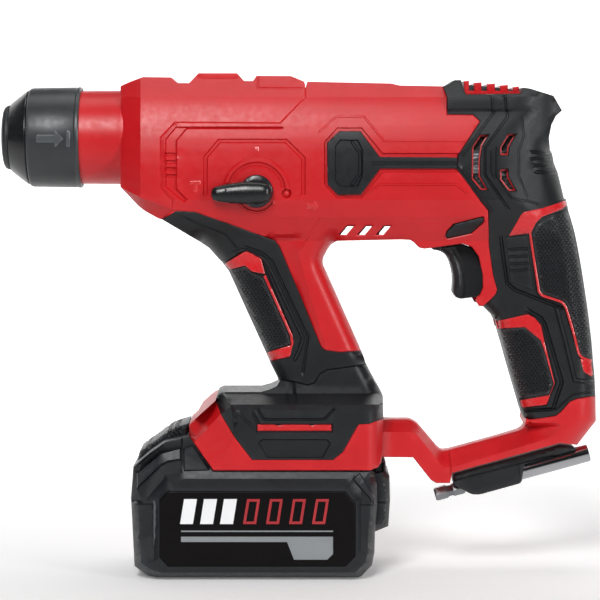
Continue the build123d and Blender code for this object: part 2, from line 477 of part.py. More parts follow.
# ---- countershaft: shaft, hub of the wobble bearing and pinion ----------------
with BuildPart() as countershaft:
    hub = [(PISTON_X + 9.0 * math.sin(math.radians(a)), 9.0 * math.cos(math.radians(a))) for a in (-50, -30, -10, 10, 30, 50)]
    turned([(-70.5, 0), (-70.5, 3.9), (hub[0][0], 3.9)] + hub + [(hub[-1][0], 3.9), (0.8, 3.9), (0.8, 3.0), (16.5, 3.0), (16.5, 0)], COUNTER_Z)
    with BuildSketch(Plane.YZ.offset(-61.5)) as pinion:
        Polygon(*gear_outline(GEAR1_SMALL, GEAR1_M, (0, COUNTER_Z), math.radians(90)))
    extrude(pinion.sketch, amount=10.5)
save(countershaft, "countershaft")
with BuildPart() as countershaft_gear:
    gear(GEAR2_BIG, GEAR2_M, COUNTER_Z, math.radians(90), 9, 15, 3.0)
save(countershaft_gear, "countershaft_gear")
with BuildPart() as counter_bearings:
    for x0, x1, shaft in ((-70, -66, 3.9), (1.5, 5.5, 3.0)):
        turned([(x0, shaft + RUN), (x1, shaft + RUN), (x1, 4.9), (x1 - 0.5, 5.1), (x1 - 0.5, 6.0), (x1, 6.2), (x1, 7.0),
                (x0, 7.0), (x0, 6.2), (x0 + 0.5, 6.0), (x0 + 0.5, 5.1), (x0, 4.9)], COUNTER_Z)
save(counter_bearings, "countershaft_bearings")

# ---- inner gear frame: side walls, front ring and rear plate ------------------
with BuildPart() as gear_frame:
    block(-48, 6, -25.5, 25.5, 181, 237)
    block(-49, 1, -23.5, 23.5, 170, 234.5, mode=Mode.SUBTRACT)
    with BuildSketch(Plane.YZ.offset(-46)) as ring_web:
        with Locations((0, 216.1)):
            Rectangle(50, 37.8)
        with Locations((0, SPINDLE_Z)):
            Circle(17.0, mode=Mode.SUBTRACT)
    extrude(ring_web.sketch, amount=6)
    tube(0, 7, 7.0, 0, axis_z=COUNTER_Z, mode=Mode.SUBTRACT)
    bolt_boss([(KNOB_X, KNOB_Z)], 5.8, 20, 30, mode=Mode.SUBTRACT)
    with BuildSketch(Plane.YZ.offset(-60)) as trim:
        Polygon((0, 238), (-9, 238), (-20.2, 230.2), (-25.2, 224.8), (-25.5, 181), (25.5, 181), (25.2, 224.8), (20.2, 230.2), (9, 238))
    extrude(trim.sketch, amount=80, mode=Mode.INTERSECT)
save(gear_frame, "gear_frame")

# ---- mode selector -------------------------------------------------------------
KNOB_LEVER = [(-43.2, 191.8), (-34.8, 193.8), (-28.0, 196.2), (-21.0, 198.1), (-14.5, 196.2), (-12.6, 189.9), (-14.5, 183.6), (-21.0, 181.2), (-28.0, 182.7), (-34.8, 185.1), (-43.2, 186.3)]
with BuildPart() as mode_knob:
    bolt_boss([(KNOB_X, KNOB_Z)], 11.0, 31.4, 33.6)
    slab(KNOB_LEVER, 33.6, 37.6)
    bolt_boss([(KNOB_X, KNOB_Z)], 4.0, 24.0, 31.4)
    bolt_boss([(KNOB_X - 4.0, KNOB_Z)], 1.5, 18.6, 24.0)
save(mode_knob, "mode_knob")
with BuildPart() as shift_fork:
    block(-46, -16, -21.5, -19.6, KNOB_Z - 7, KNOB_Z + 7)
    block(KNOB_X - 6.5, KNOB_X - 1.5, -22, -19, KNOB_Z - 6, KNOB_Z + 6, mode=Mode.SUBTRACT)
    block(-46, -43.6, -21.5, -4.6, KNOB_Z - 3, KNOB_Z + 3)
save(shift_fork, "mode_shift_fork")

# ---- motor -----------------------------------------------------------------------
with BuildPart() as motor_can:
    tube(24, 78, 24.4, 22.6, axis_z=MOTOR_Z)
    tube(24, 26, 23.0, 8.0, axis_z=MOTOR_Z)
    with BuildSketch(Plane.XZ.offset(-30)) as windows:
        with Locations((70, MOTOR_Z)):
            Rectangle(9, 12)
    extrude(windows.sketch, amount=60, mode=Mode.SUBTRACT)
save(motor_can, "motor_can")
with BuildPart() as motor_magnets:
    tube(33, 63, 22.6, 19.2, axis_z=MOTOR_Z)
    block(30, 66, -30, 30, MOTOR_Z - 4, MOTOR_Z + 4, mode=Mode.SUBTRACT)
save(motor_magnets, "motor_magnets")
with BuildPart() as motor_rotor:
    tube(17, 96.6, 2.5, 0, axis_z=MOTOR_Z)
    tube(7.5, 17, 1.5, 0, axis_z=MOTOR_Z)
    with BuildSketch(Plane.YZ.offset(35)) as lamination:
        with Locations((0, MOTOR_Z)):
            Circle(18.6)
            with PolarLocations(16.6, 10):
                Rectangle(4.2, 2.0, mode=Mode.SUBTRACT)
            with PolarLocations(13.0, 10):
                Circle(2.6, mode=Mode.SUBTRACT)
    extrude(lamination.sketch, amount=26)
    for x0, x1 in ((31, 35), (61, 65)):
        turned([(x0, 2.4), (x0, 11), (x0 + 0.8, 14.5), (x1 - 0.8, 14.5), (x1, 11), (x1, 2.4)], MOTOR_Z)
save(motor_rotor, "motor_rotor")
with BuildPart() as commutator:
    with BuildSketch(Plane.YZ.offset(66)) as bars:
        with Locations((0, MOTOR_Z)):
            Circle(7.4)
            Circle(2.5, mode=Mode.SUBTRACT)
            with PolarLocations(7.2, 10):
                Rectangle(1.2, 0.5, mode=Mode.SUBTRACT)
    extrude(bars.sketch, amount=9)
save(commutator, "commutator")
with BuildPart() as brushes:
    for s in (-1, 1):
        a, b = sorted((s * 7.6, s * 17.0))
        block(68, 74, a, b, MOTOR_Z - 2.5, MOTOR_Z + 2.5)
save(brushes, "carbon_brushes")
with BuildPart() as motor_fan:
    tube(82, 92, 6.0, 2.5, axis_z=MOTOR_Z)
    tube(82, 83.5, 22.6, 5.5, axis_z=MOTOR_Z)
    with BuildSketch(Plane.YZ.offset(83.5)) as blades:
        with Locations((0, MOTOR_Z)):
            with PolarLocations(13.9, 11):
                Rectangle(17.0, 1.2, rotation=14)
    extrude(blades.sketch, amount=7)
save(motor_fan, "motor_fan")
with BuildPart() as motor_pinion:
    gear(GEAR2_SMALL, GEAR2_M, MOTOR_Z, math.radians(-90 + 180 / GEAR2_SMALL), 8.5, 15.5, 1.5)
save(motor_pinion, "motor_pinion")
with BuildPart() as motor_bearings:
    for x0, x1, outer in ((22.0, 26.0, 8.0), (92.6, 96.0, 8.0)):
        tube(x0, x1, outer, 2.5 + RUN, axis_z=MOTOR_Z)
    tube(96.0, 99.6, 6.5, 3.5, axis_z=MOTOR_Z)
save(motor_bearings, "motor_bearings")

# ---- trigger, switch, direction lever ---------------------------------------------
with BuildPart() as trigger_half:
    eased_slab(TRIGGER_SIDE, 9.0, 1.5)
with BuildPart() as trigger:
    add(trigger_half.part)
    add(mirror(trigger_half.part, about=Plane.XZ, mode=Mode.PRIVATE))
    block(89.7, 95.7, -3, 3, 146.7, 152.7)
save(trigger, "trigger")
with BuildPart() as trigger_spring:
    coil(2.2, 0.4, 102.0 - 92.0, 5, (92.0, 0, 156.7), (1, 0, 0))
save(trigger_spring, "trigger_spring")
with BuildPart() as switch_module:
    block(102.4, 121.1, -9, 9, 144.7, 168.7)
    block(104.7, 109.7, -7, 7, 142.7, 144.7)
    block(113.6, 118.6, -7, 7, 142.7, 144.7)
save(switch_module, "switch_module")
with BuildPart() as direction_lever:
    slab(LEVER_SIDE, -24.5, 24.5)
save(direction_lever, "direction_lever")

# ---- electronics and contacts in the foot --------------------------------------------
with BuildPart() as control_board:
    block(-30, 10, -21, 21, 82, 83.6)
    block(-24, -14, -14, -4, 83.6, 87.0)
    block(-10, 2, 2, 16, 83.6, 86.4)
    block(-14, -4, -16, -8, 79.5, 82)
save(control_board, "control_board")
with BuildPart() as terminal_block:
    block(36, 40.6, -14.6, 14.6, 54.4, 66.6)
    for y in (-10, 0, 10):
        block(12, 36.5, y - 0.5, y + 0.5, 56.6, 60.6)
save(terminal_block, "terminal_block")

# ---- accessory clip and stored bit holder ------------------------------------------
TOOL_END = (144.9, 0, 57.9)
TOOL_ANGLE = 15.4
TOOL_DIR = (math.cos(math.radians(TOOL_ANGLE)), 0, math.sin(math.radians(TOOL_ANGLE)))
tool_plane = Plane(origin=TOOL_END, z_dir=(-TOOL_DIR[0], 0, -TOOL_DIR[2]))
CLIP_SIDE = [(76.9, 47.0), (130.6, 61.9), (139.1, 59.9), (139.1, 59.1), (112.5, 51.8), (111.6, 42.7), (90.5, 36.6), (86.5, 36.6), (82.0, 38.9), (76.9, 41.9)]
with BuildPart() as bit_clip:
    slab(CLIP_SIDE, -7.4, 7.4)
    with BuildSketch(tool_plane.offset(-5)) as s:
        Circle(4.75)
    extrude(s.sketch, amount=100, mode=Mode.SUBTRACT)
save(bit_clip, "bit_clip")
with BuildPart() as bit_holder:
    for start, length, radius in ((0, 48, 4.45), (48, 4, 3.6), (52, 8, 4.2), (60, 5, 2.9)):
        with BuildSketch(tool_plane.offset(start)) as s:
            Circle(radius)
        extrude(s.sketch, amount=length)
    with BuildSketch(tool_plane.offset(65)) as s:
        RegularPolygon(3.62, 6)
    extrude(s.sketch, amount=15)
    with BuildSketch(tool_plane) as s:
        RegularPolygon(3.75, 6)
    extrude(s.sketch, amount=14, mode=Mode.SUBTRACT)
save(bit_holder, "bit_holder")

# ---- battery pack ----------------------------------------------------------------------
with BuildPart() as pack_form:
    eased_slab(PACK_SIDE, PACK_HALF, 2.2)
    add(mirror(pack_form.part, about=Plane.XZ, mode=Mode.PRIVATE))
with BuildPart() as pack_lower:
    add(pack_form.part)
    slab(PACK_SPLIT, -45, 45, mode=Mode.INTERSECT)
    block(-74, 29, -35.3, 35.3, 3, 60, mode=Mode.SUBTRACT)
save(pack_lower, "pack_lower_case")
with BuildPart() as pack_upper:
    add(pack_form.part)
    slab(PACK_SPLIT, -45, 45, mode=Mode.SUBTRACT)
    block(-74, 29, -35.3, 35.3, 3, 49.5, mode=Mode.SUBTRACT)
    block(-90, 60, -45, 45, PACK_TOP_Z, 70, mode=Mode.SUBTRACT)
    slab(LATCH_BLOCK, -24, 24)
    # T-rail that slides in the foot
    block(-45, 35.2, -20, 20, 50, 62)
    block(-45, 35.2, -24, 24, 58, 62)
    for y in (-10, 0, 10):
        block(9, 36, y - 2.0, y + 2.0, 55, 63, mode=Mode.SUBTRACT)
    slab(BUTTON_POCKET, -18.6, 18.6, mode=Mode.SUBTRACT)
    with BuildSketch(Plane.XY.offset(50)) as hole:
        with Locations((-66, 0)):
            Circle(3.6)
    extrude(hole.sketch, amount=30, mode=Mode.SUBTRACT)
    with BuildSketch(Plane.YZ.offset(-84)) as gauge_hole:
        with Locations((-9, 32)):
            Circle(2.6)
    extrude(gauge_hole.sketch, amount=12, mode=Mode.SUBTRACT)
save(pack_upper, "pack_upper_case")
with BuildPart() as pack_cells:
    for i in range(5):
        for z in (12.6, 31.4):
            bolt_boss([(-22.5 + (i - 2) * 18.7, z)], CELL_R, -CELL_LEN / 2, CELL_LEN / 2)
save(pack_cells, "pack_cells")
with BuildPart() as cell_frame:
    block(-71.5, 26.5, -35.0, -32.5, 3.2, 41.2)
    block(-71.5, 26.5, 32.5, 35.0, 3.2, 41.2)
save(cell_frame, "cell_frame")
with BuildPart() as pack_board:
    block(-62, 24, -28, 28, 43, 44.6)
    for y in (-10, 0, 10):
        block(12, 22, y - 1.5, y + 1.5, 44.6, 49.4)
save(pack_board, "pack_board")
with BuildPart() as pack_terminals:
    for y in (-10, 0, 10):
        block(16, 28, y - 1.7, y - 0.8, 55.0, 60.5)
        block(16, 28, y + 0.8, y + 1.7, 55.0, 60.5)
save(pack_terminals, "pack_terminals")
with BuildPart() as release_button:
    slab(BUTTON_SIDE, -18, 18)
save(release_button, "release_button")
with BuildPart() as release_spring:
    coil(2.6, 0.4, 9.6, 5, (-66, 0, 50.5), (0, 0, 1))
save(release_spring, "release_spring")
with BuildPart() as gauge_button:
    with BuildSketch(Plane.YZ.offset(-82.2)) as gb:
        with Locations((-9, 32)):
            Circle(2.3)
    extrude(gb.sketch, amount=6)
save(gauge_button, "gauge_button")
with BuildPart() as label_plates:
    slab(LABEL_SIDE, 38.0, 38.6)
    slab(LABEL_SIDE, -38.6, -38.0)
save(label_plates, "pack_labels")
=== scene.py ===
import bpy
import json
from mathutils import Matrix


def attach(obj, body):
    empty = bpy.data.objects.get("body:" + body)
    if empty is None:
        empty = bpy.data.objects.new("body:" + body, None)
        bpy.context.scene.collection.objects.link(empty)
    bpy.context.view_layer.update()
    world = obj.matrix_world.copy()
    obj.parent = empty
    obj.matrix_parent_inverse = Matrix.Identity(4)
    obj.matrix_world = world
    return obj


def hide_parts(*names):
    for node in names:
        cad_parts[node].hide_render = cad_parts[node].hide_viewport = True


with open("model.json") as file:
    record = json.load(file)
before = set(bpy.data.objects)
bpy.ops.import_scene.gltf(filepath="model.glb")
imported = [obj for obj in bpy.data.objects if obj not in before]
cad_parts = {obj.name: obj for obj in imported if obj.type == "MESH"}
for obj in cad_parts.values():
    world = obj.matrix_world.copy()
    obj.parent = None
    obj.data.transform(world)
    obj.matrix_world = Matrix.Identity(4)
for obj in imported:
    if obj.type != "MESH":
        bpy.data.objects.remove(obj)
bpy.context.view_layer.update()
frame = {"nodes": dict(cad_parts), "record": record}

import json
import math

import bpy
import numpy as np
from mathutils import Matrix, Vector
from mathutils.geometry import delaunay_2d_cdt

# ---------------------------------------------------------------- reference
# Outlines are in mm on the middle plane of the tool (x to the rear, z up).
# A surface point that stands h mm out from that plane is drawn in towards the
# view point, so an outline keeps its place in the side view at any width.
EYE_Y = 1170.0
EYE_Z = 214.65
LEFT, RIGHT = -1, 1


def arr(p):
    return np.asarray(p, float).reshape(-1, 2)


def seg_dist(P, L, closed=True):
    L = arr(L)
    A, B = (L, np.roll(L, -1, 0)) if closed else (L[:-1], L[1:])
    d = np.full(len(P), 1e18)
    for a, b in zip(A, B):
        v = b - a
        w = P - a
        t = np.clip((w @ v) / max(float(v @ v), 1e-12), 0, 1)
        q = w - t[:, None] * v
        d = np.minimum(d, q[:, 0] ** 2 + q[:, 1] ** 2)
    return np.sqrt(d)


def inside(P, L):
    L = arr(L)
    x, y = P[:, 0], P[:, 1]
    r = np.zeros(len(P), bool)
    for a, b in zip(L, np.roll(L, -1, 0)):
        if a[1] == b[1]:
            continue
        c = (a[1] > y) != (b[1] > y)
        r ^= c & (x < (b[0] - a[0]) * (y - a[1]) / (b[1] - a[1]) + a[0])
    return r


def sdist(P, L):
    d = seg_dist(P, L)
    return np.where(inside(P, L), d, -d)


def area(L):
    L = arr(L)
    M = np.roll(L, -1, 0)
    return 0.5 * float(np.sum(L[:, 0] * M[:, 1] - M[:, 0] * L[:, 1]))


def subdiv(L, st, closed=True):
    L = arr(L)
    n = len(L)
    out = []
    for i in range(n if closed else n - 1):
        a, b = L[i], L[(i + 1) % n]
        k = max(1, int(math.ceil(np.hypot(*(b - a)) / st)))
        out += [a + (b - a) * j / k for j in range(k)]
    if not closed:
        out.append(L[-1])
    return np.array(out)


def rounded(L, r, n=4, closed=True):
    """Corners cut to arcs of up to radius r."""
    L = arr(L)
    m = len(L)
    out = []
    for i in range(m):
        if not closed and i in (0, m - 1):
            out.append(L[i])
            continue
        p, a, b = L[i], L[i - 1] - L[i], L[(i + 1) % m] - L[i]
        la, lb = np.hypot(*a), np.hypot(*b)
        if la < 1e-6 or lb < 1e-6:
            continue
        t = min(r, 0.45 * la, 0.45 * lb)
        p0, p1 = p + a / la * t, p + b / lb * t
        for j in range(n + 1):
            s = j / n
            out.append((1 - s) ** 2 * p0 + 2 * s * (1 - s) * p + s * s * p1)
    return np.array(out)


def offset(L, d):
    """The closed outline moved in by d (out where d is negative)."""
    L = arr(L)
    if area(L) < 0:
        L = L[::-1]
    keep = [L[0]]
    for p in L[1:]:
        if np.hypot(*(p - keep[-1])) > 1e-4:
            keep.append(p)
    L = np.array(keep)
    n = len(L)
    out = []
    for i in range(n):
        e1, e2 = L[i] - L[i - 1], L[(i + 1) % n] - L[i]
        e1, e2 = e1 / max(np.hypot(*e1), 1e-9), e2 / max(np.hypot(*e2), 1e-9)
        n1, n2 = np.array([-e1[1], e1[0]]), np.array([-e2[1], e2[0]])
        m = n1 + n2
        lm = np.hypot(*m)
        if lm < 1e-6:
            m, lm = n1, 1.0
        m = m / lm
        out.append(L[i] + m * d / max(float(m @ n1), 0.4))
    out = np.array(out)
    if d > 0:
        s = sdist(out, L)
        out = out[s > 0.8 * d]
    return out


def parallel(L, d):
    """An open line moved to its left by d."""
    L = arr(L)
    e = np.diff(L, axis=0)
    e = e / np.maximum(np.hypot(e[:, 0], e[:, 1])[:, None], 1e-9)
    nrm = np.stack([-e[:, 1], e[:, 0]], 1)
    v = np.vstack([nrm[:1], (nrm[:-1] + nrm[1:]), nrm[-1:]])
    v = v / np.maximum(np.hypot(v[:, 0], v[:, 1])[:, None], 1e-9)
    c = np.ones(len(L))
    c[1:-1] = np.maximum((v[1:-1] * nrm[1:]).sum(1), 0.5)
    return L + v * (d / c)[:, None]


# ---------------------------------------------------------------- features
class F:
    def __init__(self, lines, dh):
        self.lines, self.dh = lines, dh


def step(poly, dz, w=0.6):
    """A raised (dz above 0) or sunk region with a sloped wall of width w inside its edge."""
    poly = arr(poly)
    inner = offset(poly, w)
    lines = [(poly, True)]
    if len(inner) > 2:
        lines.append((inner, True))
    return F(lines, lambda P: dz * np.clip(sdist(P, poly) / w, 0, 1))


def dish(poly, dz, w):
    poly = arr(poly)
    return F([(poly, True)], lambda P: dz * np.sin(np.clip(sdist(P, poly) / w, 0, 1) * math.pi / 2))


def groove(line, w, dz, flat=0.4, closed=False):
    """A channel (dz below 0) or a rib of width w along a line."""
    line = arr(line)
    hw = w / 2
    lines = []
    if closed:
        for d in (hw, hw * flat, -hw * flat, -hw):
            o = offset(line, d)
            if len(o) > 2:
                lines.append((o, True))
    else:
        for d in (hw, hw * flat, -hw * flat, -hw):
            lines.append((parallel(line, d), False))
    return F(lines, lambda P: dz * np.clip((hw - seg_dist(P, line, closed)) / (hw * (1 - flat)), 0, 1))


def crease(line, closed=False):
    return F([(arr(line), closed)], lambda P: 0.0)


def knurl(poly, pitch, dz, edge=0.8, ang=35.0):
    """Crossed ribs: small diamonds all over the region."""
    poly = arr(poly)
    c, s = math.cos(math.radians(ang)), math.sin(math.radians(ang))

    def f(P):
        u = (P[:, 0] * c + P[:, 1] * s) / pitch
        v = (-P[:, 0] * c + P[:, 1] * s) / pitch
        tri = lambda t: 1 - 2 * np.abs(t - np.floor(t) - 0.5)
        k = np.minimum(tri(u), tri(v))
        return dz * k * np.clip(sdist(P, poly) / edge - 0.4, 0, 1)

    return F([], f)


def stripes(poly, p0, direction, pitch, duty, dz, edge=0.4):
    """Parallel ribs across a region."""
    poly = arr(poly)
    p0 = np.array(p0, float)
    d = np.array(direction, float)
    d = d / np.hypot(*d)

    def f(P):
        t = ((P - p0) @ d) / pitch
        t = np.abs(t - np.floor(t) - 0.5) * 2
        return dz * np.clip((t - (1 - duty)) * 6, 0, 1) * np.clip(sdist(P, poly) / edge, 0, 1)

    return F([], f)


def lattice_pts(poly, pitch, ang):
    """Tops and valleys of the crossed ribs over the region."""
    c, s = math.cos(math.radians(ang)), math.sin(math.radians(ang))
    M = np.array([[c, s], [-c, s]]) / pitch
    q = arr(poly) @ M.T
    lo, hi = np.floor(q.min(0)), np.ceil(q.max(0))
    U = np.array([(u, v) for u in np.arange(lo[0], hi[0] + 0.1, 0.5) for v in np.arange(lo[1], hi[1] + 0.1, 0.5)])
    return U @ np.linalg.inv(M).T


# ---------------------------------------------------------------- meshes
MATS = {}
PIECES = []


def give(ob, mat, body, nodes):
    ob.data.materials.clear()
    ob.data.materials.append(MATS[mat])
    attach(ob, body)
    if nodes:
        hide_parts(*nodes)
    PIECES.append(ob)
    return ob


def make(name, V, faces, mat, body, nodes=(), sharp=24.0, flat=False, marks=None):
    me = bpy.data.meshes.new(name)
    V = np.asarray(V, float) / 1000.0
    me.from_pydata([tuple(v) for v in V], [], faces)
    me.validate()
    me.polygons.foreach_set("use_smooth", [not flat] * len(me.polygons))
    me.update()
    if not flat:
        me.set_sharp_from_angle(angle=math.radians(sharp))
        if marks:
            a = me.attributes.get("sharp_edge") or me.attributes.new("sharp_edge", "BOOLEAN", "EDGE")
            keys = {tuple(sorted(e.vertices)): e.index for e in me.edges}
            for k in marks:
                i = keys.get(tuple(sorted(k)))
                if i is not None:
                    a.data[i].value = True
    ob = bpy.data.objects.new(name, me)
    bpy.context.scene.collection.objects.link(ob)
    return give(ob, mat, body, nodes)


def lift(P, h, side=LEFT):
    k = (EYE_Y - h) / EYE_Y
    return np.stack([P[:, 0] * k, side * h, EYE_Z + (P[:, 1] - EYE_Z) * k], 1)


def panel(name, outline, hf, mat, body, slot, nodes=(), side=LEFT, feats=(), holes=(),
          grid=2.6, bevel=0.4, thick=2.4, rim=None, back=None, sharp=24.0, st=None, gap=0.0, full=False, lattice=None):
    """A closed shell whose outer face follows hf over the outline. rim: within 2 mm of these
    closed lines its back reaches the middle plane, so both halves meet there. back: a fixed
    depth of the rear face instead."""
    outline = arr(outline)
    if gap:
        outline = offset(outline, gap)
    st = st or grid
    pts, edges, tag = [], [], []

    def add(L, closed, kind, s=st):
        L = subdiv(L, s, closed)
        i0, n = len(pts), len(L)
        pts.extend(L)
        for i in range(n if closed else n - 1):
            edges.append((i0 + i, i0 + (i + 1) % n))
            tag.append(kind)

    add(outline, True, 1)
    inner = offset(outline, 0.45)
    if bevel and len(inner) > 2:
        add(inner, True, 1)
    for hole in holes:
        add(hole, True, 1, min(st, 1.2))
        o = offset(hole, -0.45)
        add(o, True, 1, min(st, 1.2))
    for f in feats:
        for L, closed in f.lines:
            add(L, closed, 2)
    P0 = np.array(pts)
    lo, hi = outline.min(0), outline.max(0)
    gx = np.arange(lo[0], hi[0], grid)
    gz = np.arange(lo[1], hi[1], grid * 0.866)
    G = np.array([(x + (grid / 2 if j % 2 else 0), z) for j, z in enumerate(gz) for x in gx])
    if lattice:
        G = lattice_pts(outline, *lattice)
    G = G[inside(G, outline)]
    if len(G):
        ok = np.ones(len(G), bool)
        E = np.array(edges)
        A, B = P0[E[:, 0]], P0[E[:, 1]]
        d2 = np.full(len(G), 1e18)
        for a, b in zip(A, B):
            v = b - a
            w = G - a
            t = np.clip((w @ v) / max(float(v @ v), 1e-12), 0, 1)
            q = w - t[:, None] * v
            d2 = np.minimum(d2, q[:, 0] ** 2 + q[:, 1] ** 2)
        ok &= d2 > (0.42 * grid) ** 2
        for hole in holes:
            ok &= ~inside(G, hole)
        G = G[ok]
        P0 = np.vstack([P0, G])
    res = delaunay_2d_cdt([Vector(p) for p in P0], edges, [], 0, 0.004)
    P = np.array([tuple(v) for v in res[0]])
    T = np.array([f for f in res[2]])
    c = P[T].mean(1)
    keep = inside(c, outline)
    for hole in holes:
        keep &= ~inside(c, hole)
    T = T[keep]
    a, b, cc = P[T[:, 0]], P[T[:, 1]], P[T[:, 2]]
    ar = (b[:, 0] - a[:, 0]) * (cc[:, 1] - a[:, 1]) - (b[:, 1] - a[:, 1]) * (cc[:, 0] - a[:, 0])
    T = T[np.abs(ar) > 1e-7]
    ar = ar[np.abs(ar) > 1e-7]
    T = np.where((ar < 0)[:, None], T[:, ::-1], T)
    used = np.unique(T)
    remap = -np.ones(len(P), int)
    remap[used] = np.arange(len(used))
    P, T = P[used], remap[T]
    h = np.asarray(hf(P), float).copy()
    for f in feats:
        h = h + f.dh(P)
    directed = {}
    for t in T.tolist():
        for i in range(3):
            directed[(t[i], t[(i + 1) % 3])] = True
    border = [e for e in directed if (e[1], e[0]) not in directed]
    bv = np.unique(np.array(border))
    if bevel:
        h[bv] -= bevel
    if back is not None:
        hb = np.minimum(np.full(len(P), float(back)), h - 0.3)
    else:
        hb = np.maximum(h - thick, 0.03)
        if rim is not None:
            near = np.full(len(P), 1e9)
            for L, closed in rim:
                near = np.minimum(near, seg_dist(P, L, closed))
            hb = np.where(near < 1.2, 0.03, hb)
    VF = lift(P, h, side)
    VF[:, 2] = np.maximum(VF[:, 2], 0.0)
    VB = VF.copy()
    VB[:, 1] = side * hb
    if full:
        VB[:, 1] = -side * h
    n = len(P)
    faces = [tuple(t) for t in T.tolist()] + [(t[2] + n, t[1] + n, t[0] + n) for t in T.tolist()]
    faces += [(q, p, p + n, q + n) for p, q in border]
    if side > 0:
        faces = [f[::-1] for f in faces]
    marks = set()
    if len(res[4]):
        for e, orig in zip(res[1], res[4]):
            if any(o < len(tag) and tag[o] == 2 for o in orig):
                p, q = remap[e[0]], remap[e[1]]
                if p >= 0 and q >= 0:
                    marks.add((int(p), int(q)))
    # a feature line only reads as an edge where the surface really turns there
    if marks:
        fn = {}
        for t in T.tolist():
            v0, v1, v2 = VF[t[0]], VF[t[1]], VF[t[2]]
            nn = np.cross(v1 - v0, v2 - v0)
            nn = nn / max(np.linalg.norm(nn), 1e-12)
            for i in range(3):
                fn.setdefault(tuple(sorted((t[i], t[(i + 1) % 3]))), []).append(nn)
        marks = [m for m in marks if len(fn.get(tuple(sorted(m)), [])) == 2
                 and float(np.dot(*fn[tuple(sorted(m))])) < math.cos(math.radians(7))]
    return make(name, np.vstack([VF, VB]), faces, mat, body, nodes, sharp, marks=marks)


def both(name, *a, nodes=(), feats_left=(), feats_right=(), feats=(), **k):
    for s, tagname, extra in ((LEFT, "left", feats_left), (RIGHT, "right", feats_right)):
        panel(name + "_" + tagname, *a, nodes=nodes, side=s, feats=tuple(feats) + tuple(extra), **k)


def lathe(name, prof, centre, axis, mat, body, nodes=(), n=96, warp=None, sharp=24.0, start=0.0):
    """prof: (along, radius) points of a closed section round an axis through centre."""
    ax = Vector(axis).normalized()
    ref = Vector((0, 1, 0)) if abs(ax.y) < 0.9 else Vector((0, 0, 1))
    u = ax.cross(ref).normalized()
    v = ax.cross(u)
    m = len(prof)
    V = []
    for i in range(n):
        t = 2 * math.pi * i / n + start
        for j, (s, r) in enumerate(prof):
            if warp:
                s, r = warp(s, r, t)
            V.append(Vector(centre) + ax * s + (u * math.cos(t) + v * math.sin(t)) * r)
    faces = []
    for i in range(n):
        for j in range(m):
            a, b = i * m + j, i * m + (j + 1) % m
            c, d = ((i + 1) % n) * m + (j + 1) % m, ((i + 1) % n) * m + j
            faces.append((a, b, c, d))
    # drop the degenerate quads on the axis
    clean = []
    for f in faces:
        P = []
        for k2 in f:
            if not any((V[k2] - V[q]).length < 1e-5 for q in P):
                P.append(k2)
        if len(P) >= 3:
            clean.append(tuple(P))
    # merge the points that lie on the axis
    first = {}
    rep = list(range(len(V)))
    for i2, p in enumerate(V):
        key = (round(p.x, 4), round(p.y, 4), round(p.z, 4))
        rep[i2] = first.setdefault(key, i2)
    used = sorted(set(rep))
    new = {k3: i3 for i3, k3 in enumerate(used)}
    faces = []
    for f in clean:
        g = []
        for q in f:
            w = new[rep[q]]
            if w not in g:
                g.append(w)
        if len(g) >= 3:
            faces.append(tuple(g))
    Vn = [tuple(V[k4]) for k4 in used]
    vol = 0.0
    for f in faces:
        for i5 in range(1, len(f) - 1):
            vol += Vector(Vn[f[0]]).dot(Vector(Vn[f[i5]]).cross(Vector(Vn[f[i5 + 1]])))
    if vol < 0:
        faces = [f[::-1] for f in faces]
    return make(name, Vn, faces, mat, body, nodes, sharp)


# ---------------------------------------------------------------- materials
def lin(r, g, b):
    f = lambda c: c / 12.92 if c <= 0.04045 else ((c + 0.055) / 1.055) ** 2.4
    return (f(r / 255), f(g / 255), f(b / 255), 1.0)


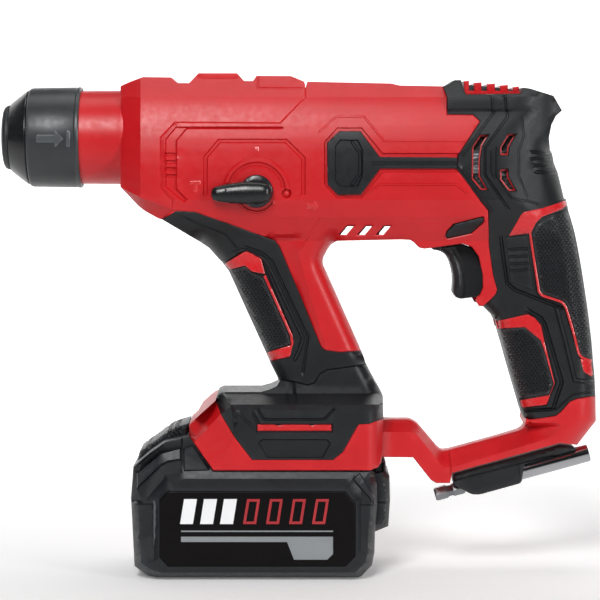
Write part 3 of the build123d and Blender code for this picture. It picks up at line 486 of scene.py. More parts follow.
def material(name, c0, c1, rough=(0.35, 0.5), metal=0.0, grain=900.0, bump=0.12, dist=0.00008, coat=0.0,
             edge_highlight=None, streak=None, weave=None, spec=0.5, emission=None, transmission=0.0, blotch=60.0):
    """c0, c1: the two colours a soft noise moves between. grain: moulded texture per metre.
    edge_highlight: a lighter colour painted on sharp edges, a painted edge highlight. streak: (axis, scale) for turned
    or brushed metal."""
    m = bpy.data.materials.new(name)
    m.use_nodes = True
    nt = m.node_tree
    nd, ln = nt.nodes, nt.links
    nd.clear()
    out = nd.new("ShaderNodeOutputMaterial")
    b = nd.new("ShaderNodeBsdfPrincipled")
    ln.new(b.outputs[0], out.inputs[0])
    b.inputs["Metallic"].default_value = metal
    b.inputs["Specular IOR Level"].default_value = spec
    b.inputs["Coat Weight"].default_value = coat
    b.inputs["Coat Roughness"].default_value = 0.12
    b.inputs["Transmission Weight"].default_value = transmission
    if emission:
        b.inputs["Emission Color"].default_value = emission
        b.inputs["Emission Strength"].default_value = 0.4
    tc = nd.new("ShaderNodeTexCoord")
    mp = nd.new("ShaderNodeMapping")
    ln.new(tc.outputs["Object"], mp.inputs["Vector"])
    if streak:
        s = [1.0, 1.0, 1.0]
        s[streak[0]] = streak[1]
        mp.inputs["Scale"].default_value = s
    n1 = nd.new("ShaderNodeTexNoise")
    n1.inputs["Scale"].default_value = blotch
    n1.inputs["Detail"].default_value = 4.0
    ln.new(mp.outputs[0], n1.inputs["Vector"])
    cr = nd.new("ShaderNodeValToRGB")
    cr.color_ramp.elements[0].position = 0.35
    cr.color_ramp.elements[0].color = c0
    cr.color_ramp.elements[1].position = 0.68
    cr.color_ramp.elements[1].color = c1
    ln.new(n1.outputs["Fac"], cr.inputs["Fac"])
    col = cr.outputs["Color"]
    # painted edge highlight: a lighter colour mixed in where the surface is pointy, on sharp edges
    if edge_highlight:
        geo = nd.new("ShaderNodeNewGeometry")
        edge_highlight_ramp = nd.new("ShaderNodeValToRGB")
        edge_highlight_ramp.color_ramp.elements[0].position = 0.52
        edge_highlight_ramp.color_ramp.elements[0].color = (0, 0, 0, 1)
        edge_highlight_ramp.color_ramp.elements[1].position = 0.64
        edge_highlight_ramp.color_ramp.elements[1].color = (0.55, 0.55, 0.55, 1)
        ln.new(geo.outputs["Pointiness"], edge_highlight_ramp.inputs["Fac"])
        mix = nd.new("ShaderNodeMix")
        mix.data_type = "RGBA"
        ln.new(edge_highlight_ramp.outputs["Color"], mix.inputs["Factor"])
        ln.new(col, mix.inputs["A"])
        mix.inputs["B"].default_value = edge_highlight
        col = mix.outputs["Result"]
    ln.new(col, b.inputs["Base Color"])
    n2 = nd.new("ShaderNodeTexNoise")
    n2.inputs["Scale"].default_value = grain * 0.25
    n2.inputs["Detail"].default_value = 3.0
    ln.new(mp.outputs[0], n2.inputs["Vector"])
    mr = nd.new("ShaderNodeMapRange")
    mr.inputs["From Min"].default_value = 0.3
    mr.inputs["From Max"].default_value = 0.7
    mr.inputs["To Min"].default_value = rough[0]
    mr.inputs["To Max"].default_value = rough[1]
    ln.new(n2.outputs["Fac"], mr.inputs["Value"])
    ln.new(mr.outputs[0], b.inputs["Roughness"])
    if bump > 0:
        n3 = nd.new("ShaderNodeTexNoise")
        n3.inputs["Scale"].default_value = grain
        n3.inputs["Detail"].default_value = 2.0
        ln.new(mp.outputs[0], n3.inputs["Vector"])
        bp = nd.new("ShaderNodeBump")
        bp.inputs["Strength"].default_value = bump
        bp.inputs["Distance"].default_value = dist
        ln.new(n3.outputs["Fac"], bp.inputs["Height"])
        ln.new(bp.outputs[0], b.inputs["Normal"])
    MATS[name] = m
    return m


# the lighter colour each of these materials gets on its sharp edges is a painted edge highlight
material("red_shell", lin(190, 19, 26), lin(198, 24, 31), rough=(0.34, 0.44), grain=1500, bump=0.09, edge_highlight=lin(222, 66, 68), spec=0.42)
material("red_gloss", lin(196, 22, 28), lin(206, 28, 34), rough=(0.22, 0.32), grain=900, bump=0.05, edge_highlight=lin(232, 80, 82), coat=0.15)
material("black_shell", lin(23, 25, 27), lin(29, 31, 34), rough=(0.34, 0.44), grain=1800, bump=0.16, edge_highlight=lin(62, 66, 70), spec=0.34)
material("pack_shell", lin(23, 25, 28), lin(29, 32, 35), rough=(0.36, 0.46), grain=1700, bump=0.18, edge_highlight=lin(70, 74, 78), spec=0.34)
material("soft_grip_skin", lin(19, 21, 23), lin(25, 27, 30), rough=(0.38, 0.48), grain=2200, bump=0.18, edge_highlight=lin(56, 59, 62), spec=0.34)
material("soft_pad", lin(24, 26, 28), lin(30, 32, 35), rough=(0.34, 0.44), grain=2600, bump=0.06, edge_highlight=lin(96, 100, 104), spec=0.42)
material("rubber_cap", lin(32, 34, 36), lin(40, 42, 44), rough=(0.42, 0.54), grain=1600, bump=0.18, edge_highlight=lin(72, 74, 76), spec=0.4)
material("sleeve_satin", lin(44, 47, 49), lin(51, 54, 56), rough=(0.32, 0.42), grain=1400, bump=0.12, edge_highlight=lin(96, 100, 102), spec=0.42)
material("nose_gloss", lin(24, 25, 27), lin(30, 31, 33), rough=(0.20, 0.28), grain=700, bump=0.04, spec=0.5, coat=0.1)
material("knob_gloss", lin(20, 21, 23), lin(25, 27, 29), rough=(0.24, 0.32), grain=1200, bump=0.02, edge_highlight=lin(60, 64, 68), spec=0.45)
material("label_gloss", lin(13, 11, 12), lin(16, 14, 15), rough=(0.30, 0.38), grain=500, bump=0.02, spec=0.10)
material("print_grey", lin(126, 131, 134), lin(134, 139, 142), rough=(0.30, 0.42), grain=1200, bump=0.05)
material("print_white", lin(232, 233, 235), lin(240, 241, 242), rough=(0.30, 0.42), grain=1200, bump=0.05)
material("print_red", lin(160, 34, 40), lin(172, 40, 46), rough=(0.30, 0.42), grain=1200, bump=0.05)
material("turned_steel", lin(168, 170, 173), lin(190, 192, 195), rough=(0.22, 0.36), metal=1.0, grain=600, bump=0.10, streak=(0, 12.0), blotch=90)
material("ground_steel", lin(150, 152, 155), lin(178, 180, 183), rough=(0.25, 0.42), metal=1.0, grain=800, bump=0.08, edge_highlight=lin(210, 212, 214), blotch=80)
material("spring_wire", lin(120, 122, 126), lin(150, 152, 156), rough=(0.25, 0.38), metal=1.0, grain=700, bump=0.06)
material("cast_aluminium", lin(160, 163, 167), lin(182, 185, 188), rough=(0.40, 0.58), metal=1.0, grain=1300, bump=0.25, blotch=50)
material("magnet_grey", lin(66, 68, 72), lin(84, 86, 90), rough=(0.45, 0.60), metal=0.8, grain=1500, bump=0.2)
material("bare_copper", lin(176, 104, 66), lin(200, 124, 84), rough=(0.28, 0.42), metal=1.0, grain=900, bump=0.08, streak=(0, 6.0))
material("pressed_carbon", lin(38, 38, 40), lin(54, 54, 56), rough=(0.60, 0.80), grain=2600, bump=0.4)
material("inner_nylon", lin(52, 54, 58), lin(62, 64, 68), rough=(0.45, 0.60), grain=1500, bump=0.18, edge_highlight=lin(98, 100, 104))
material("board_green", lin(20, 82, 44), lin(28, 100, 54), rough=(0.30, 0.45), grain=700, bump=0.10, streak=(1, 3.0))
material("cell_sleeve", lin(38, 96, 140), lin(46, 108, 152), rough=(0.20, 0.32), grain=500, bump=0.06, coat=0.3)
material("lens_clear", lin(206, 214, 220), lin(226, 232, 236), rough=(0.08, 0.18), grain=400, bump=0.04, transmission=0.6, coat=0.4)
material("black_chrome_tube", lin(164, 165, 168), lin(174, 175, 178), rough=(0.10, 0.16), metal=1.0, grain=500, bump=0.03, streak=(0, 0.3))
# a lighter copy of the sleeve plastic for the raised arrow and bar: a painted highlight
material("sleeve_highlight_grey", lin(68, 72, 74), lin(77, 81, 84), rough=(0.28, 0.36), grain=1200, bump=0.1, edge_highlight=lin(116, 121, 124))
material("gunmetal_hex", lin(96, 99, 102), lin(120, 123, 126), rough=(0.26, 0.40), metal=0.9, grain=900, bump=0.12, edge_highlight=lin(160, 163, 166))

SLOT_MAT = {"red_plastic": "red_shell", "black_plastic": "black_shell", "soft_grip": "soft_grip_skin",
            "rubber": "rubber_cap", "sleeve_plastic": "sleeve_satin", "gloss_black": "nose_gloss",
            "label": "label_gloss", "steel": "ground_steel", "spring_steel": "spring_wire",
            "aluminium": "cast_aluminium", "magnet": "magnet_grey", "copper": "bare_copper",
            "carbon": "pressed_carbon", "inner_plastic": "inner_nylon", "board": "board_green",
            "cell_wrap": "cell_sleeve", "lens": "lens_clear", "black_chrome": "black_chrome_tube"}
SLOT_OF = {s["node"]: s["material_slot"] for s in frame["record"]["subparts"]}
for node, ob in frame["nodes"].items():
    ob.data.materials.clear()
    ob.data.materials.append(MATS[SLOT_MAT[SLOT_OF[node]]])
for node in ("spindle", "beat_piece", "striker", "motor_rotor", "countershaft"):
    frame["nodes"][node].data.materials[0] = MATS["turned_steel"]

# ---------------------------------------------------------------- outlines
TOP_CASE = arr([(-89.2, 241.2), (-84.0, 243.5), (-78.0, 245.7), (-64.1, 245.5), (-61.1, 242.7), (-55.1, 242.7), (-50.4, 247.6), (-31.3, 247.6), (-27.8, 243.7), (-23.4, 243.7), (-21.6, 246.3), (-4.5, 246.2), (2.0, 243.5), (2.5, 242.0), (2.7, 240.2)])
SEAM = arr([(2.7, 240.2), (2.7, 235.8), (-9.9, 222.9), (-62.2, 223.2), (-69.4, 215.9), (-69.5, 190.6), (-63.8, 184.1), (-63.8, 179.1), (-61.8, 179.1)])
CHIN = arr([(-68.8, 174.9), (-70.8, 175.5), (-77.3, 179.1), (-80.3, 181.4), (-89.5, 191.1)])
TOP_SHELL = arr([(2.7, 240.2), (3.7, 243.4), (45.2, 242.5), (49.7, 241.5), (71.1, 241.1), (73.1, 235.8)])
REAR_SEAM = arr([(73.1, 235.8), (73.1, 227.1), (86.0, 226.9), (89.5, 223.7), (78.7, 207.0), (78.2, 200.1), (93.8, 179.1), (94.3, 161.2), (96.4, 147.2), (98.5, 139.7), (97.5, 137.2), (94.5, 134.2), (91.5, 131.6)])
GUARD = arr([(91.5, 131.6), (89.5, 131.6), (88.0, 134.2), (88.5, 136.2), (90.0, 137.2), (91.5, 140.7), (91.4, 147.2), (89.4, 156.2), (85.9, 161.2), (80.9, 162.9)])
BELLY = arr([(80.9, 162.9), (65.4, 160.7), (61.9, 160.3), (59.4, 160.9), (57.4, 163.2), (54.9, 164.7), (49.9, 164.9), (18.5, 164.2)])
STRUT_BACK = arr([(18.5, 164.2), (15.7, 162.7), (13.5, 159.7), (11.2, 154.9), (11.7, 151.8), (29.8, 111.1), (30.6, 109.0)])
STRUT_SEAM = arr([(30.6, 109.0), (28.5, 109.2), (20.5, 108.5), (12.5, 109.5), (10.5, 111.1), (0.0, 137.2), (-10.5, 161.7), (-12.5, 164.2), (-29.9, 170.7), (-52.4, 178.6), (-61.8, 179.1)])
STRUT_FRONT = arr([(-68.8, 174.9), (-49.9, 163.7), (-45.4, 160.7), (-40.5, 155.2), (-38.5, 153.2), (-35.5, 149.2), (-17.3, 109.0), (-15.0, 103.5), (-10.3, 94.0)])
COVER_TOP = arr([(30.6, 109.0), (33.1, 102.3), (23.6, 101.0), (13.5, 99.5), (10.0, 97.5), (7.0, 93.0), (4.0, 91.9), (1.5, 92.5), (-5.0, 94.0), (-10.3, 94.0)])
COVER_BACK = arr([(33.1, 102.3), (36.1, 96.5), (40.1, 89.4), (41.6, 86.4), (41.9, 74.8)])
COVER_SEAM = arr([(41.9, 74.8), (34.6, 72.3), (29.6, 72.0), (28.6, 70.8), (21.6, 58.1), (16.6, 54.1), (-24.1, 54.1), (-32.6, 65.2), (-39.6, 76.8), (-42.1, 83.4)])
COVER_FRONT = arr([(-42.1, 83.4), (-42.1, 85.4), (-41.1, 87.4), (-39.1, 88.4), (-19.6, 88.4), (-15.0, 89.7), (-11.5, 91.4), (-10.3, 94.0)])
FOOT_FRONT = arr([(-42.1, 83.4), (-42.4, 84.1), (-55.7, 72.0), (-55.5, 66.2), (-53.2, 62.7), (-43.5, 48.8)])
FOOT_BASE = arr([(-43.5, 48.8), (35.2, 48.8), (39.2, 50.5), (40.9, 53.1), (41.7, 64.2), (41.9, 74.8)])
BAR_TOP = arr([(39.6, 74.8), (55.2, 74.8), (58.7, 72.8), (69.3, 60.2), (71.3, 58.9), (75.3, 59.4), (110.4, 69.2), (112.7, 71.3), (113.4, 74.8)])
BAR_LIP = arr([(113.4, 74.8), (115.4, 74.3), (128.4, 76.3), (130.9, 78.3), (135.4, 83.4), (138.9, 84.9), (148.2, 86.4)])
BAR_HEEL = arr([(148.2, 86.4), (148.5, 73.8), (139.1, 61.7)])
BAR_BASE = arr([(139.1, 61.7), (130.5, 62.7), (76.4, 47.5), (75.4, 42.4), (68.4, 42.4), (65.8, 44.0), (56.8, 55.4), (39.7, 55.6)])
BAR_CREASE = arr([(39.6, 68.2), (55.2, 68.2), (58.2, 67.7), (71.8, 50.5), (75.4, 50.0), (125.5, 65.2), (134.0, 72.8)])
REAR_TOP = arr([(73.1, 235.8), (71.1, 241.0), (74.0, 242.2), (76.8, 244.2), (80.0, 244.2), (81.5, 239.2), (82.5, 237.0), (109.8, 237.5), (110.8, 240.5), (114.3, 240.0), (126.0, 236.4), (130.3, 229.1), (127.3, 226.4), (125.1, 221.9), (123.9, 215.5), (124.5, 209.5), (125.5, 208.0), (126.5, 203.0), (128.5, 198.1), (131.6, 185.6), (132.6, 185.1)])
GRIP_BACK = arr([(132.6, 185.1), (133.4, 182.1), (133.7, 179.9), (137.2, 168.7), (140.4, 152.2), (144.0, 129.6), (146.2, 112.1), (146.8, 104.0), (147.6, 97.0), (148.2, 86.4)])
GRIP_FRONT = arr([(113.4, 74.8), (112.4, 75.3), (110.8, 79.8), (109.3, 84.9), (99.1, 120.1), (98.1, 124.6), (97.0, 125.1), (96.5, 126.6), (91.5, 131.6)])


def chain(*ls):
    out = []
    for L in ls:
        for p in L:
            if not out or np.hypot(*(np.array(p) - out[-1])) > 0.05:
                out.append(np.array(p))
    if np.hypot(*(out[0] - out[-1])) < 0.05:
        out.pop()
    return np.array(out)


STRUT_BACK = np.vstack([rounded(STRUT_BACK[:-2], 3.0, 4, closed=False), STRUT_BACK[-2:]])
GRIP_BACK = rounded(GRIP_BACK, 6.0, 4, closed=False)
BAR_TOP = rounded(BAR_TOP, 3.0, 4, closed=False)
BAR_CREASE = rounded(BAR_CREASE, 4.0, 4, closed=False)
GEAR_CASE = chain(TOP_CASE, SEAM, CHIN)
SHELL = chain(SEAM[::-1], TOP_SHELL, REAR_SEAM, GUARD, BELLY, STRUT_BACK, STRUT_SEAM)
STRUT = chain(STRUT_SEAM[::-1], COVER_TOP, STRUT_FRONT[::-1])
COVER = chain(COVER_TOP[::-1], COVER_BACK[1:], COVER_SEAM, COVER_FRONT)
COVER = chain(COVER_TOP[1:][::-1], COVER_BACK, COVER_SEAM, COVER_FRONT)
FOOT = chain(COVER_SEAM[::-1], FOOT_BASE[::-1], FOOT_FRONT[::-1])
BAR = chain(BAR_TOP, BAR_LIP, BAR_HEEL, BAR_BASE)
REAR = chain(REAR_TOP, GRIP_BACK, BAR_LIP[::-1], GRIP_FRONT, REAR_SEAM[::-1])
OUTER = chain(TOP_CASE, TOP_SHELL, REAR_TOP, GRIP_BACK, BAR_HEEL, BAR_BASE, FOOT_BASE[::-1], FOOT_FRONT[::-1], COVER_FRONT, STRUT_FRONT[::-1], CHIN)
INNER = chain(BELLY, STRUT_BACK, COVER_BACK, BAR_TOP, GRIP_FRONT, GUARD)
RIM = [(OUTER, True), (BELLY[2:], False), (STRUT_BACK, False), (COVER_BACK, False), (BAR_TOP, False), (GRIP_FRONT, False)]


# ---------------------------------------------------------------- half-widths
def smin(a, b, k):
    t = np.clip(0.5 + 0.5 * (b - a) / k, 0, 1)
    return b * (1 - t) + a * t - k * t * (1 - t)


TABLE_Z = [84.4, 153.7, 164.2, 176.2, 184.6, 193.6, 202.0, 209.5, 215.9, 221.9, 225.9, 229.3, 232.8, 235.8, 245.7, 249.2]
TABLE_H = [16.2, 17.0, 19.2, 26.8, 30.1, 31.1, 31.3, 30.8, 29.9, 28.6, 27.4, 26.2, 24.8, 23.3, 12.5, 10.5]


def table(z):
    return np.interp(z, TABLE_Z, TABLE_H)


def eased(P, lines, h, he, R):
    d = np.full(len(P), 1e9)
    for L in lines:
        d = np.minimum(d, seg_dist(P, L, False))
    t = np.clip(d / R, 0, 1)
    return np.where(h > he, he + (h - he) * np.sqrt(np.clip(1 - (1 - t) ** 2, 0, 1)), h)




def h_shell(P):
    x, z = P[:, 0], P[:, 1]
    h = table(z)
    h = smin(h, np.interp(x, [84.7, 114.6, 129.6], [32.2, 20.0, 14.0]) + 0 * z, 3.0)
    return eased(P, [STRUT_BACK[2:], STRUT_FRONT[1:]], h, 6.5, 8.0)


def h_rear(P):
    x, z = P[:, 0], P[:, 1]
    h = table(z)
    band = np.interp(z, [228.6, 228.8, 235.8, 245.7], [26.3, 27.6, 27.2, 13.5])
    h = np.where(z > 228.6, band, h)
    h = smin(h, np.interp(x, [84.7, 94.7, 102.2, 108.7, 114.6, 120.6, 125.6, 137.1], [33.5, 31.8, 30.2, 28.4, 26.2, 23.5, 20.5, 17.2]), 2.0)
    low = np.clip((184.6 - z) / (184.6 - 153.7), 0, 1)
    h = np.where(z < 184.6, np.minimum(h, 31 - (31 - 17.2) * low ** 0.7), h)
    h = eased(P, [REAR_TOP[15:], GRIP_BACK], h, 6.0, 8.5)
    return eased(P, [GRIP_FRONT], h, 7.0, 7.5)


def tin(P, verts, tris, h):
    h = h.copy()
    V = np.array(verts, float)
    for a, b, c in tris:
        A, B, C = V[a, :2], V[b, :2], V[c, :2]
        d = (B[0] - A[0]) * (C[1] - A[1]) - (B[1] - A[1]) * (C[0] - A[0])
        u = ((P[:, 0] - A[0]) * (C[1] - A[1]) - (P[:, 1] - A[1]) * (C[0] - A[0])) / d
        v = ((B[0] - A[0]) * (P[:, 1] - A[1]) - (B[1] - A[1]) * (P[:, 0] - A[0])) / d
        m = (u > -0.01) & (v > -0.01) & (u + v < 1.01)
        h[m] = (V[a, 2] + u * (V[b, 2] - V[a, 2]) + v * (V[c, 2] - V[a, 2]))[m]
    return h


CHIN_PTS = [(-80.0, 186.1), (-62.0, 179.2), (-68.8, 174.8), (-77.3, 178.9), (-80.3, 181.2), (-89.6, 191.1), (-70.8, 175.3)]
CHIN_HS = [30.27, 28.0, 24.0, 23.4, 23.2, 23.9, 23.6]
CHIN_TIN = [(p[0], p[1], q) for p, q in zip(CHIN_PTS, CHIN_HS)]
CHIN_TRI = [(5, 0, 4), (0, 3, 4), (0, 1, 3), (1, 6, 3), (1, 2, 6)]


def h_case(P):
    x, z = P[:, 0], P[:, 1]
    h = table(z) - np.interp(x, [-89.5, -79.5], [7.0, 0.0])
    return tin(P, CHIN_TIN, CHIN_TRI, h)


FOOT_PTS = [(-42.1, 83.9), (-55.7, 72.0), (-55.5, 66.2), (-53.2, 62.7), (-40.6, 76.3), (-32.6, 65.2), (-43.5, 48.8), (-39.1, 88.4), (-34.6, 81.4)]
FOOT_HS = [19.0, 20.5, 22.0, 30.6, 31.4, 34.0, 34.0, 16.2, 31.6]
FOOT_TIN = [(p[0], p[1], q) for p, q in zip(FOOT_PTS, FOOT_HS)]
FOOT_TRI = [(0, 4, 3), (0, 3, 1), (1, 3, 2), (4, 5, 3), (3, 5, 6), (0, 7, 8), (0, 8, 4), (4, 8, 5)]
FOOT_CREASES = [crease([FOOT_PTS[0], FOOT_PTS[4], FOOT_PTS[3]]), crease([FOOT_PTS[4], FOOT_PTS[5], FOOT_PTS[3]]),
                crease([FOOT_PTS[5], FOOT_PTS[6]]), crease([FOOT_PTS[7], FOOT_PTS[8], FOOT_PTS[5]]), crease([FOOT_PTS[0], FOOT_PTS[8], FOOT_PTS[4]])]


def h_foot(P):
    x, z = P[:, 0], P[:, 1]
    h = np.interp(z, [79.3, 82.1, 87.7, 91.9], [34.0, 31.8, 16.4, 15.6])
    h = tin(P, FOOT_TIN, FOOT_TRI, h)
    h = eased(P, [COVER_BACK[:-1]], h, 7.0, 8.0)
    d = np.clip((42.1 - x) / 8.0, 0, 1)
    side = 14.0 + 20.0 * np.sqrt(np.clip(1 - (1 - d) ** 2, 0, 1))
    h = np.where(z < 82.4, np.minimum(h, side), h)
    top = seg_dist(P, STRUT_FRONT[-3:], False)
    return h


def between(P, A, B, ha, hb, h):
    A, B = arr(A), arr(B)
    ring = np.vstack([A, B[::-1]])
    m = inside(P, ring) | (seg_dist(P, A, False) < 0.05)
    da, db = seg_dist(P, A, False), seg_dist(P, B, False)
    return np.where(m, ha + (hb - ha) * da / np.maximum(da + db, 1e-6), h)


def h_bar(P):
    x, z = P[:, 0], P[:, 1]
    W = np.interp(x, [40.4, 45.9, 99.7, 117.1, 139.6], [14.5, 12.0, 12.0, 16.8, 17.2])
    t = between(P, BAR_TOP[:-2], BAR_CREASE, 0.35, 1.0, np.ones(len(P)))
    h = W * t
    h = eased(P, [BAR_HEEL, GRIP_BACK[-2:]], h, 6.0, 9.0)
    return h


# ---------------------------------------------------------------- pieces of the side
case_feats = [
    crease([(-90.5, 235.8), (5.0, 235.8)]), crease([(-90.5, 225.9), (5.0, 225.9)]), crease([(-79.2, 249.2), (-79.5, 186.6), (-80.0, 186.1), (-62.0, 179.2), (-61.8, 179.1)]), crease([(-89.6, 191.1), (-80.0, 186.1)]),
    step([(-51.6, 251.1), (-51.7, 246.2), (-49.2, 244.7), (-31.8, 244.7), (-29.3, 246.2), (-29.3, 251.1)], -0.7, 0.5),
    groove([(-20.9, 251.1), (-20.9, 240.2), (0.0, 240.2)], 1.2, -0.5),
]
both("gear_case", GEAR_CASE, h_case, "red_shell", "housing", "red_plastic", nodes=("gear_case",),
     feats=case_feats, rim=RIM, grid=2.4)

def disc(c, r, n=20):
    t = np.linspace(0, 2 * math.pi, n, endpoint=False)
    return np.stack([c[0] + r * np.cos(t), c[1] + r * np.sin(t)], 1)


ARC_C = np.array((-22.4, 189.1))


def arc_pts(r, a0, a1, n=40, c=None):
    c = ARC_C if c is None else c
    t = np.radians(np.linspace(a0, a1, n))
    return np.stack([c[0] + r * np.cos(t), c[1] + r * np.sin(t)], 1)


KN = np.array((-21.7, 188.9))
OCT = [(-47.1, 187.6), (-47.0, 206.0), (-40.1, 214.0), (-7.0, 214.0), (1.7, 205.5), (1.7, 187.6)]
DOT = np.array((-6.7, 187.9))
PANEL_BAND = [(-67.2, 215.0), (-61.9, 221.2), (-8.9, 221.2), (-7.0, 219.7), (-56.2, 219.7), (-61.1, 214.0), (-61.2, 190.1), (-55.8, 184.9), (-57.8, 183.1), (-67.3, 191.1)]
shell_seam_in = [(-62.7, 221.9), (-68.2, 215.5), (-68.3, 190.6), (-62.8, 184.6)]
seam_in2 = [(-59.2, 219.9), (-64.0, 214.7), (-64.0, 191.6), (-59.3, 186.6)]
bumper_frame = [(11.9, 213.5), (18.4, 220.7), (30.8, 220.7), (41.3, 208.0), (79.7, 208.0), (79.7, 198.3), (41.4, 198.3), (30.9, 185.4), (18.4, 185.4), (12.0, 192.1)]
STRUT_EDGE = [(4.5, 166.7), (-0.5, 161.2), (-0.5, 156.2), (13.5, 109.0)]


def strut_edge():
    """The strut falls away in front of a raised edge that runs down it."""
    E = arr(STRUT_EDGE)
    ring = np.vstack([E, arr([(0.0, 106.5), (-15.0, 134.7), (-19.0, 166.7)])])

    def f(P):
        d = seg_dist(P, E, False)
        return np.where(inside(P, ring), -1.9 * np.clip(d / 4.5, 0, 1), 0.0)

    return F([(E, False)], f)


shell_feats = [
    crease([(0.0, 235.8), (74.6, 235.8)]), crease([(-5.0, 228.4), (74.6, 228.4)]), crease([(-64.7, 221.9), (94.5, 221.9)]), crease([(-63.8, 184.6), (89.7, 184.6)]), crease([(-63.9, 176.2), (94.3, 176.2)]), crease([(-63.9, 164.2), (94.3, 164.2)]),
    groove(shell_seam_in, 1.0, 0.35), step(PANEL_BAND, -1.4, 0.8),
    step(bumper_frame, -0.9, 0.5),
    groove([(34.4, 188.4), (39.9, 192.3), (77.7, 192.3), (83.2, 188.1)], 1.3, 0.55),
    groove([(9.9, 218.9), (17.9, 226.1), (31.8, 226.1), (41.8, 214.0), (84.6, 214.0)], 1.2, 0.35),
    groove([(-57.9, 177.9), (-50.4, 174.9), (-35.4, 168.9), (-28.5, 161.2)], 1.1, -0.6),
    strut_edge(),
    groove([(10.0, 175.2), (0.0, 159.7)], 1.0, 0.3),
]
RIBS = [[(-67.0, 207.3), (-61.7, 207.3)], [(-67.0, 203.6), (-61.8, 203.6)], [(-67.0, 200.1), (-61.8, 200.1)], [(-67.0, 196.6), (-61.8, 196.6)]]
for r_ in RIBS:
    shell_feats.append(groove(r_, 1.9, -1.1, 0.45))
knob_feats = [
    groove(OCT, 2.3, -0.95, 0.5),
    groove(arc_pts(15.5, 163, -4, c=KN), 3.2, 0.95, 0.35),
    groove(arc_pts(12.6, 158, 8, c=KN), 1.2, -0.35, 0.4),
    step(disc(DOT, 2.5), -1.6, 0.4),
    groove(arc_pts(10.4, -142, -38, c=KN), 1.3, 0.8),
]
LEVER_SLOT = [(72.2, 166.6), (73.6, 165.2), (85.6, 167.9), (91.9, 173.7), (91.7, 176.2), (90.6, 176.3), (76.5, 172.8), (73.2, 169.2)]
SLOTS = [LEVER_SLOT, [(23.4, 171.9), (27.2, 171.9), (23.2, 167.2), (19.2, 167.2)], [(32.7, 171.9), (36.4, 171.9), (32.4, 167.2), (28.4, 167.2)], [(41.9, 171.9), (45.6, 171.9), (41.7, 167.2), (37.7, 167.2)]]
SCREWS = [(8.0, 173.7), (63.9, 169.2), (69.6, 234.6), (122.6, 196.6), (-19.0, 129.6), (-32.1, 68.2), (37.1, 80.3), (70.3, 50.5), (122.5, 134.7), (130.4, 78.3)]


def at_h(c, h):
    """The reference point of something that really lies at (x, z) on a face h out."""
    k = (EYE_Y - h) / EYE_Y
    return (c[0] / k, EYE_Z + (c[1] - EYE_Z) / k)


WELLS = []


def wells(outline, hf, mat="red_shell"):
    """Screw wells that fall in this outline, on the right side."""
    out = []
    for c in SCREWS:
        h0 = float(hf(np.array([c]))[0])
        q = at_h(c, h0)
        h0 = float(hf(np.array([q]))[0])
        q = at_h(c, h0)
        if sdist(np.array([q]), outline)[0] > 3.6:
            out.append(disc(q, 3.2))
            WELLS.append((c, float(np.min(hf(disc(q, 4.3)))), mat))
    return out


panel("clamshell_left", SHELL, h_shell, "red_shell", "housing", "red_plastic", nodes=("housing_left",), side=LEFT,
      feats=shell_feats + knob_feats, holes=SLOTS, rim=RIM, grid=2.2)
# the right-hand openings lie where the line of sight through the left-hand ones comes out
THROUGH = [np.stack([q[:, 0] * 1.047, EYE_Z + (q[:, 1] - EYE_Z) * 1.047], 1) for q in map(arr, SLOTS[1:])]
panel("clamshell_right", SHELL, h_shell, "red_shell", "housing", "red_plastic", nodes=("housing_right",), side=RIGHT,
      feats=shell_feats, holes=[SLOTS[0]] + THROUGH + wells(SHELL, h_shell), rim=RIM, grid=2.4)

# side bumpers
BUMPER = [(13.4, 213.0), (19.6, 218.9), (30.1, 218.9), (39.8, 206.0), (78.2, 205.8), (78.2, 200.3), (39.9, 200.3), (30.4, 187.4), (18.9, 187.1), (13.7, 192.6)]
bump_h = lambda P: h_shell(P) + 0.9
bump_feats = [step([(17.4, 211.5), (19.9, 214.7), (28.9, 214.7), (31.4, 209.5), (31.4, 196.6), (28.9, 191.1), (19.9, 191.1), (17.4, 194.1)], -1.1, 0.6),
              groove([(25.9, 213.5), (29.9, 208.0), (29.9, 197.6), (25.9, 192.3)], 1.6, 0.8),
              groove([(35.9, 203.0), (76.7, 203.0)], 1.6, -0.5)]
both("side_bumper", BUMPER, bump_h, "black_shell", "housing", "black_plastic", nodes=("side_bumpers",),
     feats=bump_feats, grid=1.8, thick=2.6, bevel=0.5)

# strut cover and its pad
strut_feats = [groove([(-32.0, 158.7), (-28.5, 159.7), (-25.0, 158.4), (-18.0, 155.4), (-16.0, 152.7), (1.5, 115.6), (0.0, 110.1), (-2.5, 105.0)], 2.0, 1.0, 0.45),
               groove([(-27.0, 161.2), (-19.0, 158.4), (-14.0, 154.2), (4.0, 116.1), (3.0, 109.5), (1.5, 98.5)], 1.5, -0.7, 0.4),
               groove([(-57.9, 176.2), (-49.9, 172.4), (-37.4, 167.7), (-31.9, 161.2)], 1.0, -0.4),
               step([(-39.0, 153.2), (-28.5, 158.9), (-26.5, 159.7), (-19.0, 155.7), (-3.5, 118.1), (-5.0, 110.1), (-4.0, 108.5), (-5.0, 106.0), (-15.0, 103.8), (-18.0, 108.5), (-35.5, 148.7)], -1.2, 0.6)]
both("strut_cover", STRUT, h_shell, "soft_grip_skin", "housing", "soft_grip", nodes=("front_overmould",),
     feats=strut_feats, rim=RIM, grid=2.2)
STRUT_PAD = [(-35.0, 149.7), (-27.5, 151.4), (-24.0, 148.2), (-18.5, 145.4), (-6.0, 117.1), (-5.0, 112.6), (-16.3, 108.8)]
pad_h = lambda P: h_shell(P) + 0.35
both("strut_pad", STRUT_PAD, pad_h, "soft_pad", "housing", "soft_grip", nodes=("front_overmould",),
     feats=[knurl(STRUT_PAD, 1.5, 0.8)], grid=0.7, st=1.2, thick=1.6, bevel=0.3, lattice=(1.5, 35.0), sharp=18.0)
